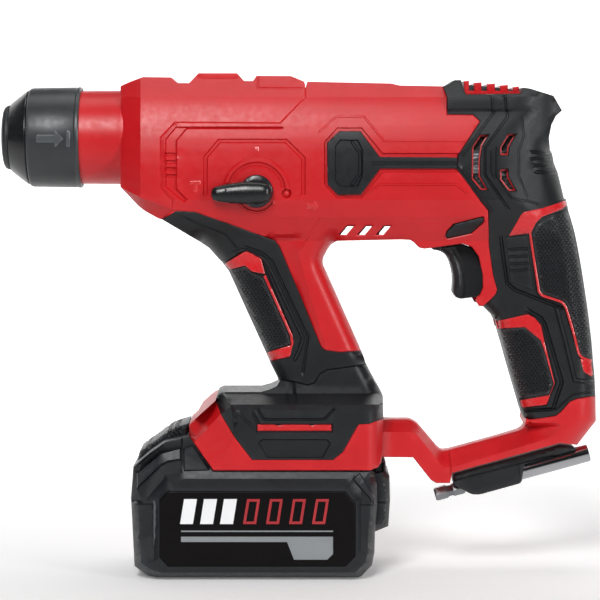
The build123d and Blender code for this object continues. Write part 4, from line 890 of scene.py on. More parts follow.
for nm, pl in (("strut_ring_top", [(-37.7, 152.7), (-28.5, 158.3), (-26.5, 159.2), (-19.5, 155.4), (-17.5, 147.7), (-24.0, 148.9), (-27.5, 151.9), (-35.0, 149.9)]),
               ("strut_ring_low", [(-16.5, 108.3), (-5.0, 111.8), (-4.3, 110.1), (-5.3, 106.3), (-15.0, 104.0)]),
               ("strut_trim", [(-17.2, 147.2), (-3.8, 117.1), (-3.2, 112.8), (-5.0, 106.5), (-5.8, 106.8), (-4.5, 113.1), (-5.0, 116.8), (-18.2, 146.4)])):
    both(nm, pl, lambda P: h_shell(P) + 0.15, "red_gloss", "housing", "red_plastic", nodes=(), grid=1.6, thick=1.6, bevel=0.25)

# foot
cover_feats = FOOT_CREASES + [
    crease([(-39.1, 82.1), (42.1, 82.1)]), crease([(-39.1, 87.7), (42.1, 87.7)]), crease([(-39.1, 79.3), (42.1, 79.3)]),
    groove([(-30.1, 77.3), (-23.6, 70.3)], 1.4, 0.5), groove([(-23.6, 77.8), (-20.6, 72.3)], 1.6, -0.8), groove([(-21.1, 79.8), (-18.1, 74.5), (12.0, 74.5), (16.6, 79.3)], 1.4, -0.9),
    step([(-22.1, 72.5), (16.6, 72.5), (16.6, 68.0), (-22.1, 68.0)], -1.3, 0.5),
    step([(-21.1, 62.7), (-19.1, 64.7), (13.6, 64.7), (15.6, 62.7), (11.6, 55.1), (-16.6, 55.1)], -1.0, 0.6),
    groove([(-5.5, 101.5), (-4.0, 82.4)], 5.5, -1.2, 0.3),
]
both("foot_cover", COVER, h_foot, "black_shell", "housing", "black_plastic", nodes=("foot_covers",),
     feats=cover_feats, rim=RIM, grid=2.2)
foot_wells = wells(FOOT, h_foot) + wells(COVER, h_foot, "black_shell")
foot_feats = FOOT_CREASES
panel("foot_shell_left", FOOT, h_foot, "red_shell", "housing", "red_plastic", nodes=("housing_left",), side=LEFT,
      feats=foot_feats, rim=RIM, grid=2.2)
panel("foot_shell_right", FOOT, h_foot, "red_shell", "housing", "red_plastic", nodes=("housing_right",), side=RIGHT,
      feats=foot_feats, rim=RIM, grid=2.2)
both("foot_inlay", [(-21.3, 72.0), (-12.6, 72.0), (-12.0, 71.5), (-10.0, 71.5), (-9.5, 72.0), (4.5, 72.0), (5.0, 71.5), (6.5, 71.5), (7.0, 72.0), (15.8, 72.0), (15.8, 68.8), (-21.3, 68.8)], lambda P: h_foot(P) - 0.9, "red_gloss", "housing", "red_plastic",
     nodes=(), grid=1.6, thick=1.5, bevel=0.25)

# lower bar
bar_feats = [crease(BAR_CREASE), groove([(74.7, 59.6), (75.5, 52.6), (76.2, 40.9)], 0.9, -0.7, 0.4)]
panel("lower_bar_left", BAR, h_bar, "red_shell", "housing", "red_plastic", nodes=("housing_left",), side=LEFT,
      feats=bar_feats, rim=[(BAR_TOP, False), (BAR_HEEL, False), (BAR_BASE, False)], grid=2.2)
panel("lower_bar_right", BAR, h_bar, "red_shell", "housing", "red_plastic", nodes=("housing_right",), side=RIGHT,
      feats=bar_feats, rim=[(BAR_TOP, False), (BAR_HEEL, False), (BAR_BASE, False)], grid=2.2)

# ---------------------------------------------------------------- rear cover and grip
SLOT_A = [(89.6, 216.9), (94.0, 217.2), (90.6, 211.5), (89.6, 204.5), (89.7, 196.6), (93.7, 189.6), (90.2, 189.6), (85.5, 195.1), (85.6, 211.0)]
SLOT_B1 = [(103.5, 217.4), (107.5, 217.4), (104.0, 211.0), (103.6, 207.0), (99.6, 207.0), (99.6, 211.0)]
SLOT_B2 = [(99.6, 199.8), (103.6, 200.1), (103.9, 196.1), (107.7, 189.3), (104.2, 189.1), (99.7, 194.6)]
rear_feats = [
    crease([(69.6, 236.0), (127.2, 236.0)]), crease([(69.6, 228.6), (130.8, 228.6)]), crease([(69.6, 221.9), (125.4, 221.9)]), crease([(84.8, 184.6), (130.6, 184.6)]),
    groove([(80.7, 200.1), (95.8, 179.1)], 1.5, 0.8), groove([(95.4, 236.8), (96.2, 227.9), (87.1, 215.5), (81.2, 207.5)], 1.4, 0.8),
    groove([(101.9, 235.8), (103.2, 225.9), (102.0, 224.4), (92.1, 210.5), (92.2, 197.1), (103.7, 180.6)], 1.5, -0.9),
    groove([(95.6, 209.0), (95.6, 198.6), (97.2, 196.1)], 1.1, 0.8),
    groove([(98.1, 209.0), (98.1, 197.1), (105.7, 185.6), (117.7, 183.1)], 1.1, 0.8),
    groove([(110.4, 225.4), (111.5, 216.9), (109.0, 209.5), (109.1, 196.6), (113.2, 186.6)], 1.2, -0.4),
    groove([(100.3, 165.7), (101.9, 153.7), (103.5, 143.2), (107.5, 139.7), (116.5, 136.2), (128.0, 131.6), (130.5, 130.6)], 2.0, -1.2, 0.35),
    groove([(128.5, 130.6), (133.2, 113.1), (137.8, 94.5), (147.4, 93.0)], 2.4, 1.0, 0.5),
    groove([(114.5, 129.1), (120.6, 125.6), (122.6, 122.1), (131.3, 93.5), (130.3, 90.4), (126.9, 79.8), (111.9, 78.8)], 2.2, -1.2, 0.35),
    groove([(110.8, 79.8), (111.9, 78.3), (128.4, 79.8), (131.9, 82.9), (136.4, 86.9), (147.9, 88.9)], 1.2, -0.5),
    step([(97.6, 124.1), (114.0, 128.1), (117.6, 126.1), (121.1, 122.1), (128.8, 93.0), (125.3, 85.9), (123.9, 81.4), (111.3, 79.8)], -0.7, 0.6),
    step([(113.8, 169.2), (117.7, 173.7), (120.2, 175.7), (132.6, 181.1), (135.2, 177.1), (150.3, 104.0), (140.2, 104.5), (135.1, 119.6), (131.5, 131.6), (120.5, 135.7), (118.0, 137.7)], -0.6, 0.6),
]
for rib_ in ([(116.5, 208.5), (125.0, 208.5)], [(116.5, 205.2), (126.0, 205.2)], [(117.0, 201.8), (127.0, 201.8)], [(117.6, 198.5), (128.0, 198.5)]):
    rear_feats.append(groove(rib_, 1.9, -1.2, 0.3))
panel("rear_cover_left", REAR, h_rear, "soft_grip_skin", "housing", "soft_grip", nodes=("rear_overmould",), side=LEFT,
      feats=rear_feats, holes=[SLOT_A, SLOT_B1, SLOT_B2], rim=RIM, grid=2.2)
panel("rear_cover_right", REAR, h_rear, "soft_grip_skin", "housing", "soft_grip", nodes=("rear_overmould",), side=RIGHT,
      feats=rear_feats, holes=[SLOT_A, SLOT_B1, SLOT_B2] + wells(REAR, h_rear, "soft_grip_skin"), rim=RIM, grid=2.2)


AROUND = [(83.6, 218.7), (109.0, 218.7), (109.2, 187.6), (83.7, 187.6)]
for s_, t_ in ((LEFT, "left"), (RIGHT, "right")):
    panel("vent_liner_" + t_, AROUND, lambda P: h_rear(P) - 2.5, "red_shell", "housing", "red_plastic", side=s_,
          holes=[offset(q, 0.7) for q in (SLOT_A, SLOT_B1, SLOT_B2)], grid=2.4, thick=1.2, bevel=0.15)
    panel("vent_screen_" + t_, AROUND, lambda P: h_rear(P) - 5.5, "pressed_carbon", "housing", "inner_plastic", side=s_,
          feats=[stripes(AROUND, (0.0, 0.0), (1.0, 0.0), 2.2, 0.5, 0.5)], grid=1.4, thick=0.9, bevel=0.1)
    for nm, pl in (("vent_foil_front", [(85.1, 209.5), (90.3, 209.5), (90.4, 197.6), (85.2, 197.6)]), ("vent_foil_rear", [(99.3, 209.5), (104.3, 209.5), (104.4, 196.6), (99.4, 196.6)])):
        panel(nm + "_" + t_, pl, lambda P: h_rear(P) - 4.4, "gunmetal_hex", "housing", "steel", side=s_, feats=[stripes(pl, (0.0, 0.0), (0.0, 1.0), 1.8, 0.5, 0.2)], grid=0.9, thick=0.5, bevel=0.1)


def ribbon(L, w):
    L = arr(L)
    return np.vstack([parallel(L, w / 2), parallel(L, -w / 2)[::-1]])


def inset(nm, pl, proud, mat, slot, nodes=(), feats=(), grid=1.6, thick=1.6, bevel=0.3, hf=None, st=None, lattice=None, sharp=24.0):
    hf = hf or h_rear
    both(nm, pl, lambda P: hf(P) + proud, mat, "housing", slot, nodes=nodes, feats=feats, grid=grid, thick=thick, bevel=bevel, st=st, lattice=lattice, sharp=sharp)


inset("back_band", [(132.4, 184.4), (133.1, 182.1), (130.7, 180.1), (120.7, 176.2), (117.7, 173.2), (115.3, 168.2), (104.3, 166.7), (110.2, 177.1), (111.7, 178.6), (121.2, 180.6)], 0.3, "red_gloss", "red_plastic")
GRIP_BLOCK = [(102.8, 165.9), (112.8, 166.9), (114.9, 149.7), (116.2, 139.9), (105.4, 144.2)]
inset("grip_block", GRIP_BLOCK, 0.7, "black_shell", "soft_grip",
      feats=[groove([(103.8, 159.9), (112.8, 160.4)], 1.5, -1.1), groove([(103.9, 156.2), (113.3, 156.7)], 1.5, -1.1), groove([(104.4, 152.7), (113.9, 153.2)], 1.5, -1.1), groove([(104.9, 149.2), (113.9, 149.7)], 1.5, -1.1)])
inset("grip_trim", ribbon(rounded([(114.8, 168.2), (116.9, 154.7), (119.5, 138.7), (121.0, 136.9), (131.0, 133.7), (133.0, 131.1), (136.6, 119.6), (140.0, 106.0), (146.3, 104.0)], 3, closed=False), 1.1), 0.25, "red_gloss", "red_plastic", grid=1.2, bevel=0.2)
REAR_PAD = [(116.0, 166.7), (118.2, 171.7), (121.7, 174.4), (132.7, 179.1), (133.9, 177.1), (136.7, 166.7), (139.9, 150.7), (143.6, 128.6), (145.4, 112.1), (146.0, 105.0), (140.7, 106.3), (137.1, 120.6), (133.8, 131.9), (131.5, 134.7), (121.5, 137.9), (120.2, 139.2), (117.9, 155.2)]
inset("rear_pad", REAR_PAD, -0.15, "soft_pad", "soft_grip", feats=[knurl(REAR_PAD, 1.5, 0.8)], grid=0.7, st=1.2, lattice=(1.5, 35.0), sharp=18.0)
inset("grip_tab", [(140.5, 105.0), (145.8, 103.8), (146.8, 97.5), (146.1, 96.2), (142.1, 98.7)], 0.2, "red_gloss", "red_plastic")
FRONT_PAD = [(99.3, 119.8), (112.6, 120.6), (119.9, 114.1), (122.7, 106.5), (126.6, 92.5), (124.8, 87.7), (109.6, 85.1)]
inset("grip_pad", FRONT_PAD, -0.15, "soft_pad", "soft_grip", feats=[knurl(FRONT_PAD, 1.5, 0.8)], grid=0.7, st=1.2, lattice=(1.5, 35.0), sharp=18.0)
inset("grip_ring_top", [(97.8, 124.4), (114.0, 127.4), (117.1, 125.9), (120.6, 122.1), (122.1, 114.6), (127.6, 93.0), (125.8, 87.9), (125.8, 86.2), (123.9, 82.1), (111.3, 80.6), (109.8, 84.1), (124.8, 86.7), (125.3, 87.4), (127.3, 92.5), (123.2, 106.8), (120.6, 114.3), (112.6, 121.0), (98.8, 120.3)], -0.35, "red_gloss", "red_plastic", grid=1.4)

# top vent
VENT = [(81.5, 237.0), (81.5, 243.7), (84.0, 243.8), (84.0, 238.8), (86.5, 238.8), (86.5, 242.8), (90.2, 243.1), (90.2, 238.8), (92.9, 238.8), (92.9, 242.2), (96.9, 242.5), (96.9, 238.8), (99.4, 238.8), (99.4, 241.5), (103.3, 241.8), (103.4, 238.8), (105.9, 238.8), (105.8, 240.7), (108.8, 241.1), (108.8, 238.8), (110.3, 238.8), (110.3, 237.0)]


def solid(name, outline, hf, mat, body, slot, nodes=(), feats=(), grid=2.0, bevel=0.4, holes=(), st=None, sharp=24.0):
    """One closed piece from the left face to its mirror image on the right."""
    return panel(name, outline, hf, mat, body, slot, nodes=nodes, feats=feats, grid=grid, bevel=bevel, holes=holes, st=st, full=True, sharp=sharp)


solid("top_vent_bars", VENT, lambda P: 13.0 + 0 * P[:, 0], "red_gloss", "housing", "red_plastic", nodes=("top_vent_grille",), grid=1.6, bevel=0.35)

solid("top_vent_backing", [(81.8, 236.9), (81.8, 241.9), (89.4, 241.4), (96.4, 240.7), (102.9, 239.9), (108.3, 239.2), (109.6, 236.9)], lambda P: 11.6 + 0 * P[:, 0], "pressed_carbon", "housing", "inner_plastic",
      feats=[stripes([(81.5, 236.3), (81.5, 244.2), (110.3, 244.2), (110.3, 236.3)], (0.0, 0.0), (0.0, 1.0), 1.6, 0.5, 0.3)], grid=1.2, bevel=0.3)

# ---------------------------------------------------------------- trigger, lever, knob
TRIGGER = [(65.4, 160.0), (69.9, 159.3), (73.4, 156.7), (75.4, 151.7), (76.5, 145.7), (76.0, 138.7), (77.5, 136.2), (80.0, 135.2), (88.0, 136.2), (90.0, 137.2), (91.5, 140.7), (91.4, 147.2), (89.4, 156.2), (85.9, 160.7), (80.9, 162.5)]
TRIGGER = rounded(TRIGGER, 1.6, 3)


def h_trigger(P):
    d = seg_dist(P, [(69.9, 159.3), (73.4, 156.7), (75.4, 151.7), (76.5, 145.7), (76.0, 138.7), (77.5, 136.2)], False)
    t = np.clip(d / 4.5, 0, 1)
    return 4.5 + 4.4 * np.sqrt(np.clip(1 - (1 - t) ** 2, 0, 1))


# two cheeks that meet along the front and the foot of the trigger; open at the back round its spring
for s_, t_ in ((LEFT, "left"), (RIGHT, "right")):
    panel("trigger_shell_" + t_, TRIGGER, h_trigger, "black_shell", "trigger", "black_plastic", nodes=("trigger",), side=s_, thick=2.2,
          rim=[([(65.4, 160.0), (69.9, 159.3), (73.4, 156.7), (75.4, 151.7), (76.5, 145.7), (76.0, 138.7), (77.5, 136.2), (80.0, 135.2), (88.0, 136.2), (90.0, 137.2), (91.5, 140.7)], False)],
          feats=[groove([(76.4, 159.7), (79.7, 153.7), (81.2, 147.7), (81.5, 141.7), (80.8, 135.7)], 3.6, -1.0, 0.1)], grid=1.1)
LEVER = [(72.7, 166.7), (73.8, 165.7), (85.3, 168.3), (91.4, 173.8), (91.3, 175.8), (90.6, 175.8), (76.8, 172.3), (73.6, 169.0)]
solid("direction_slider", rounded(LEVER, 1.2, 3), lambda P: table(P[:, 1]) + 0.9, "black_shell", "direction_lever", "black_plastic", nodes=("direction_lever",),
      feats=[F([(arr([(75.1, 168.4), (78.3, 170.2), (90.8, 174.2)]), False)], lambda P: -1.1 * np.clip(seg_dist(P, [(75.1, 168.4), (78.3, 170.2), (90.8, 174.2)], False) / 2.4, 0, 1))], grid=1.1, bevel=0.3)

KNOB_BAR = rounded([(-14.0, 188.4), (-14.7, 191.1), (-16.9, 192.8), (-20.9, 193.5), (-27.4, 193.8), (-35.9, 192.7), (-42.4, 191.2), (-43.9, 190.0), (-44.4, 187.6), (-43.9, 185.3), (-42.4, 184.2), (-35.9, 183.1), (-27.4, 182.6), (-20.9, 183.0), (-16.9, 183.8), (-14.7, 185.6)], 0.8, 2)


def h_bar_knob(P):
    x = P[:, 0]
    w = np.interp(x, [-44.4, -42.4, -35.9, -27.4, -18.9, -15.9, -14.0], [3.2, 3.7, 4.9, 5.8, 5.4, 4.8, 3.6])
    v = P[:, 1] - np.interp(x, [-44.4, -14.0], [187.6, 188.3])
    a = 1 - (1 - np.clip((x - -44.6) / 3.4, 0, 1)) ** 2
    b = 1 - (1 - np.clip((-13.9 - x) / 4.2, 0, 1)) ** 2
    tail = np.clip((KN[0] - 4 - x) / 18.0, 0, 1)
    return 34.0 + (4.0 - 0.9 * tail) * np.sqrt(np.clip(1 - 0.92 * (v / w) ** 2, 0.02, 1) * a * b)


KNOB_DISC = disc(KN, 8.25, 56)
panel("mode_knob_cap", KNOB_BAR, h_bar_knob, "knob_gloss", "mode_knob", "black_plastic", nodes=("mode_knob",), side=LEFT, back=31.9,
      feats=[groove([(-41.9, 187.4), (-36.9, 188.9)], 0.9, 0.3)], grid=0.8, st=0.8, bevel=0.25, sharp=40.0)
panel("mode_knob_skirt", KNOB_DISC, lambda P: 33.6 + 1.0 * np.sin(np.clip(sdist(P, KNOB_DISC) / 1.6, 0, 1) * math.pi / 2), "knob_gloss", "mode_knob", "black_plastic", side=LEFT, back=31.9, grid=1.5, bevel=0.3)
# raised marks beside the knob and a bright button at the end of its track
for nm, pl in (("mark_hammer", [(-54.8, 194.1), (-49.3, 194.1), (-49.3, 192.3), (-51.1, 192.3), (-51.1, 188.6), (-53.1, 188.6), (-53.1, 192.3), (-54.8, 192.3)]),
               ("mark_drill", [(3.5, 183.1), (7.0, 183.1), (7.0, 184.4), (9.2, 181.6), (7.0, 178.9), (7.0, 180.1), (3.5, 180.1)]),
               ("mark_stop", [(-22.9, 211.2), (-20.4, 211.2), (-20.4, 208.8), (-22.9, 208.8)])):
    panel(nm, pl, lambda P: h_shell(P) + 0.32, "red_gloss", "housing", "red_plastic", side=LEFT, grid=1.2, thick=0.7, bevel=0.2)
panel("track_dot", disc(DOT, 1.5), lambda P: h_shell(P) - 1.1 + 0.9 * np.sin(np.clip(sdist(P, disc(DOT, 1.5)) / 1.4, 0, 1) * math.pi / 2), "red_gloss", "housing", "red_plastic", side=LEFT, grid=0.6, thick=1.2, bevel=0.1)

# ---------------------------------------------------------------- chuck
AX = (0.0, 0.0, 215.7)
lathe("dust_ring", [(-138.5, 16.3), (-138.5, 12.1), (-143.2, 12.1), (-143.2, 5.5), (-146.2, 5.5), (-146.9, 6.1), (-147.1, 7.6), (-147.1, 12.6),
                    (-146.8, 14.0), (-146.1, 15.2), (-144.9, 15.9), (-143.9, 16.0), (-143.7, 15.5), (-143.3, 15.5), (-143.0, 16.2)], AX, (1, 0, 0),
      "rubber_cap", "spindle", nodes=("dust_cap",), n=112)
lathe("nose_ring", [(-134.15, 22.9), (-134.15, 16.6), (-143.3, 16.6), (-143.3, 16.8), (-142.9, 17.2), (-136.2, 22.5), (-134.9, 23.3), (-134.4, 23.35)], AX, (1, 0, 0),
      "nose_gloss", "spindle", nodes=("chuck_nose_cap",), n=112)


def sleeve_warp(s, r, t):
    return s, r


lathe("sleeve_grip", [(-133.9, 22.4), (-133.9, 23.6), (-133.3, 24.25), (-132.2, 24.5), (-124.0, 24.65), (-110.9, 24.85), (-110.5, 24.72), (-110.2, 24.8), (-109.8, 24.98),
                      (-108.8, 24.98), (-108.25, 24.7), (-108.2, 23.5), (-131.0, 23.5), (-132.2, 22.4)], AX, (1, 0, 0),
      "sleeve_satin", "sleeve", nodes=("locking_sleeve",), n=128)


def h_sleeve(r):
    def f(P):
        z = EYE_Z + (P[:, 1] - EYE_Z) * ((EYE_Y - 23.0) / EYE_Y)
        return np.sqrt(np.maximum(r * r - (z - 215.7) ** 2, 1.0))
    return f


ARROW = [(-131.4, 216.4), (-130.9, 217.1), (-122.2, 217.1), (-122.2, 218.9), (-121.7, 219.1), (-117.7, 215.1), (-121.7, 211.0), (-122.2, 211.2), (-122.2, 213.2), (-130.9, 213.2), (-131.4, 213.7)]
BARMARK = [(-116.4, 218.9), (-115.9, 219.4), (-114.9, 219.4), (-114.4, 218.9), (-114.5, 211.5), (-115.0, 211.0), (-116.0, 211.0), (-116.5, 211.5)]
# the raised arrow and bar are the sleeve's own plastic, coloured lighter grey as a painted highlight
for nm, pl in (("sleeve_arrow", ARROW), ("sleeve_bar", BARMARK)):
    for s_, t_ in ((LEFT, "left"), (RIGHT, "right")):
        panel(nm + "_" + t_, rounded(pl, 0.5, 2), h_sleeve(25.05), "sleeve_highlight_grey", "sleeve", "sleeve_plastic", side=s_, grid=1.0, thick=0.9, bevel=0.2)
lathe("case_collar", [(-110.0, 19.2), (-110.0, 22.6), (-109.5, 23.06), (-90.6, 23.2), (-88.5, 23.3), (-88.0, 23.4), (-86.0, 23.4), (-86.0, 19.2)], AX, (1, 0, 0),
      "red_shell", "housing", nodes=("gear_case",), n=128)

# ---------------------------------------------------------------- battery pack
PACK = arr([(-83.7, 51.0), (-75.3, 57.9), (-67.3, 63.4), (-56.7, 66.0), (-55.5, 65.7), (-53.2, 62.2), (-43.7, 48.6), (35.2, 48.6), (37.4, 48.0), (38.7, 41.9), (39.0, 31.3), (37.8, 18.1), (37.5, 7.4), (36.3, 0.8), (29.5, -6.4), (-70.6, -6.4), (-76.1, -4.8), (-79.1, -3.0), (-83.4, 0.3), (-85.0, 34.8)])
PACK_M = arr([(-78.9, 32.8), (-68.4, 44.6), (22.6, 44.6), (26.2, 44.4), (30.7, 38.9), (30.7, 4.9), (25.2, -2.5), (-69.5, -2.5), (-73.6, 2.8), (-73.4, 32.1)])
PACK_N = arr([(-70.2, 32.0), (-64.6, 39.0), (23.1, 39.0), (28.2, 32.8), (28.2, 5.1), (22.9, -0.7), (-67.3, -0.7), (-70.9, 4.1)])
PACK_EDGE = arr([(-81.9, 53.6), (-83.7, 51.0), (-85.0, 34.8), (-83.4, 0.3), (-79.1, -3.0), (-76.1, -4.8), (-70.6, -6.4), (29.5, -6.4), (36.3, 0.8), (37.5, 7.4), (37.8, 18.1), (39.0, 31.3), (39.0, 41.9), (37.4, 48.0)])
PACK_PTS = [(-55.7, 66.0), (-60.0, 65.7), (-66.6, 63.3), (-80.2, 52.1), (-83.8, 50.5), (-59.8, 60.4), (-69.8, 57.7), (-82.1, 47.5), (-84.3, 47.0), (-59.8, 54.4), (-66.6, 53.2), (-69.8, 51.4), (-82.1, 39.5), (-84.8, 38.9), (-59.8, 44.6), (-68.4, 44.6), (-78.9, 32.8), (-85.0, 34.3), (-53.5, 62.1), (-45.0, 48.9), (-59.8, 48.5)]
PACK_HS = [29.5, 30.6, 30.8, 30.2, 27.6, 29.0, 29.2, 28.8, 26.6, 31.0, 31.3, 31.4, 30.8, 27.0, 32.4, 32.6, 33.8, 27.0, 29.6, 30.6, 31.6]
PACK_TIN = [(p[0], p[1], q) for p, q in zip(PACK_PTS, PACK_HS)]
PACK_TRI = [(0, 1, 5), (0, 5, 18), (5, 18, 19), (5, 19, 20), (1, 2, 6), (1, 6, 5), (2, 3, 7), (2, 7, 6), (3, 4, 8), (3, 8, 7),
            (5, 6, 10), (5, 10, 9), (6, 11, 10), (6, 7, 12), (6, 12, 11), (7, 8, 13), (7, 13, 12),
            (9, 10, 15), (9, 15, 14), (10, 11, 15), (11, 12, 16), (11, 16, 15), (12, 13, 17), (12, 17, 16)]
PACK_STEP = [(-59.8, 60.4), (-69.8, 57.7), (-82.1, 47.5), (-82.1, 39.5), (-69.8, 51.4), (-66.6, 53.2), (-59.8, 54.4)]
PACK_BLOCK = [(-58.6, 60.0), (-53.7, 61.7), (-45.3, 48.7), (-58.6, 48.4)]


def h_pack(P):
    dE = seg_dist(P, PACK_EDGE, False)
    dM = seg_dist(P, PACK_M)
    dN = seg_dist(P, PACK_N)
    inM, inN = inside(P, PACK_M), inside(P, PACK_N)
    h = 27.0 + 7.4 * np.sin(np.clip(dE / 3.4, 0, 1) * math.pi / 2)
    under = (~inM) & (P[:, 1] > 44.6) & (P[:, 0] > -67.8)
    h = np.where(under, np.minimum(h, 33.6 - 0.35 * np.clip(P[:, 1] - 44.6, 0, 10)), h)
    h = tin(P, PACK_TIN, PACK_TRI, h)
    t2 = dM / np.maximum(dM + dN, 1e-6)
    low = np.clip((15.6 - P[:, 1]) / (15.6 - 2.3), 0, 1)
    h = h + 2.4 * low * np.clip(dE / 3.4, 0, 1)
    hm = 33.8 + 3.2 * low
    h = np.where(inM, hm + (38.0 - hm) * t2, h)
    return np.where(inN, 38.0, h)


LABEL = arr([(-66.4, 37.9), (22.6, 37.9), (27.7, 32.3), (27.7, 5.4), (22.7, 0.3), (-66.5, 0.3), (-70.5, 4.9), (-70.4, 33.8)])
pack_feats = [crease(PACK_M, True), crease(PACK_N, True), crease([(-60.0, 65.7), (-66.6, 63.3), (-80.2, 52.1), (-83.8, 50.5)]), crease([(-68.4, 44.6), (-78.9, 32.8), (-85.0, 34.3)]),
              crease(parallel(PACK_EDGE, 3.4)), crease([(-66.6, 53.2), (-68.4, 44.6)]), crease([(-82.1, 39.5), (-78.9, 32.8)]),
              step(offset(LABEL, -0.35), -0.7, 0.4),
              step(PACK_STEP, 2.2, 0.6), step(PACK_BLOCK, 2.0, 0.6),
              groove([(-59.3, 66.2), (-59.4, 48.3)], 0.9, -1.0, 0.4),
              step([(26.5, 44.5), (30.1, 47.7), (38.5, 33.8), (37.2, 31.8)], 1.0, 0.5),
              groove([(30.7, 31.4), (39.2, 31.4)], 0.8, -0.5), groove([(-85.0, 31.6), (-73.9, 31.6)], 0.8, -0.5)]
PACK_RIM = [(PACK, True)]
for s_, t_ in ((LEFT, "left"), (RIGHT, "right")):
    panel("pack_case_" + t_, PACK, h_pack, "pack_shell", "battery", "black_plastic", nodes=("pack_upper_case", "pack_lower_case"), side=s_,
          feats=pack_feats, rim=PACK_RIM, grid=2.2)
    panel("pack_label_" + t_, LABEL, lambda P: 38.3 + 0 * P[:, 0], "label_gloss", "battery", "label", nodes=("pack_labels",), side=s_, grid=4.0, thick=1.2, bevel=0.25)
REAR_BLOCK = [(37.4, 52.1), (43.0, 53.1), (43.2, 48.5), (45.0, 46.0), (45.3, 34.3), (44.5, 20.6), (37.8, 17.8), (37.5, 18.1)]
solid("pack_rear_block", REAR_BLOCK, lambda P: 17.0 + 5.0 * np.clip(seg_dist(P, [(43.0, 53.1), (43.2, 48.5), (45.0, 46.0), (45.3, 34.3), (44.5, 20.6), (37.8, 17.8)], False) / 2.4, 0, 1),
      "pack_shell", "battery", "black_plastic", nodes=("pack_upper_case",), grid=1.4,
      feats=[groove([(38.2, 32.6), (45.8, 32.6)], 0.9, -0.7), crease([(37.4, 46.5), (42.2, 47.5), (43.9, 45.0), (44.1, 34.3), (43.4, 21.6), (37.8, 19.4)]), step([(35.2, 46.8), (42.2, 47.8), (42.2, 55.1), (35.2, 55.1)], -3.0, 0.8)])

k_lab = lambda P: 38.42 + 0 * P[:, 0]
# generic print: charge bars, a rule and a tab
BARS_W = [[(-58.3, 34.3), (-51.8, 34.3), (-53.9, 21.6), (-60.4, 21.6)], [(-48.3, 34.3), (-41.7, 34.3), (-43.8, 21.6), (-50.3, 21.6)], [(-38.2, 34.3), (-31.7, 34.3), (-33.7, 21.6), (-40.3, 21.6)]]
BARS_R = [[(-26.6, 34.3), (-20.1, 34.3), (-22.1, 21.6), (-28.7, 21.6)], [(-15.1, 34.3), (-8.6, 34.3), (-10.6, 21.6), (-17.1, 21.6)], [(-3.5, 34.3), (3.0, 34.3), (1.0, 21.6), (-5.5, 21.6)], [(8.1, 34.3), (14.6, 34.3), (12.6, 21.6), (6.0, 21.6)]]
for s_, t_ in ((LEFT, "left"), (RIGHT, "right")):
    for i, pl in enumerate(BARS_W):
        panel("label_bar_%d_%s" % (i, t_), pl, k_lab, "print_white", "battery", "label", side=s_, grid=6, thick=0.3, bevel=0)
    for i, pl in enumerate(BARS_R):
        panel("label_box_%d_%s" % (i, t_), pl, k_lab, "print_red", "battery", "label", side=s_, grid=6, thick=0.3, bevel=0, holes=[offset(pl, 1.3)])
    panel("label_rule_" + t_, [(-59.9, 18.3), (16.6, 18.3), (16.6, 17.6), (-59.9, 17.6)], k_lab, "print_grey", "battery", "label", side=s_, grid=8, thick=0.3, bevel=0)
    panel("label_tab_" + t_, [(-59.9, 15.2), (16.6, 15.2), (16.6, 6.4), (13.8, 3.5), (-3.0, 3.5), (-6.5, 12.5), (-59.9, 12.5)], k_lab, "print_grey", "battery", "label", side=s_, grid=8, thick=0.3, bevel=0)

# release button with a ribbed thumb face
top_line = arr([(-55.9, 72.7), (-60.2, 71.5), (-64.4, 70.1), (-72.8, 64.2), (-80.5, 58.5), (-81.8, 53.6), (-83.4, 51.0)])
teeth = []
dense = subdiv(top_line, 0.75, False)
for i, p in enumerate(dense):
    g = (-78.2 < p[0] < -70.8) or (-67.8 < p[0] < -59.8)
    teeth.append(p + (np.array([0.22, -0.22]) if (g and i % 2) else 0))
BUTTON = np.vstack([np.array(teeth), arr([(-75.3, 57.7), (-67.3, 63.3), (-56.2, 65.9)])])
solid("release_cap", BUTTON, lambda P: np.clip(15.6 + 2.2 * sdist(P, BUTTON), 14, 17.8), "black_shell", "release_button", "black_plastic", nodes=("release_button",), grid=1.0, bevel=0.3, st=1.0,
      feats=[stripes([(-77.8, 59.1), (-71.3, 63.7), (-69.5, 60.9), (-76.3, 55.4)], (0.0, 0.0), (1.0, 0.3), 1.5, 0.5, -0.6), stripes([(-67.3, 67.5), (-59.2, 70.4), (-59.2, 66.5), (-66.3, 64.0)], (0.0, 0.0), (1.0, 0.3), 1.5, 0.5, -0.6)])

# ---------------------------------------------------------------- clip and stored tool
CLIP = [(76.9, 47.0), (130.6, 61.9), (136.6, 61.2), (139.1, 59.5), (112.5, 51.9), (111.6, 43.5), (110.6, 42.2), (90.5, 36.6), (86.5, 36.6), (82.0, 38.9), (76.9, 41.9)]
solid("clip_body", rounded(CLIP, 1.2, 3), lambda P: 7.3 - 0.9 * np.clip(1 - sdist(P, arr(CLIP)) / 1.6, 0, 1), "black_shell", "housing", "black_plastic", nodes=("bit_clip",),
      feats=[groove([(76.9, 43.5), (110.5, 52.3), (138.6, 59.6)], 1.0, -0.6), groove([(110.3, 51.6), (111.3, 44.0)], 1.0, 0.4)], grid=1.8)
TE = (144.9, 0.0, 57.9)
TD = (-math.cos(math.radians(15.4)), 0.0, -math.sin(math.radians(15.4)))
lathe("bit_tube", [(14.0, 0.0), (14.0, 3.7), (0.5, 3.75), (0.0, 3.95), (0.15, 4.3), (0.7, 4.45), (47.5, 4.45), (48.0, 4.2), (48.3, 3.6), (52.0, 3.6), (52.2, 4.0), (52.6, 4.2),
                   (59.6, 4.2), (60.2, 3.6), (60.5, 2.9), (65.2, 2.9), (65.2, 0.0)], TE, TD, "black_chrome_tube", "bit_holder", nodes=("bit_holder",), n=72)
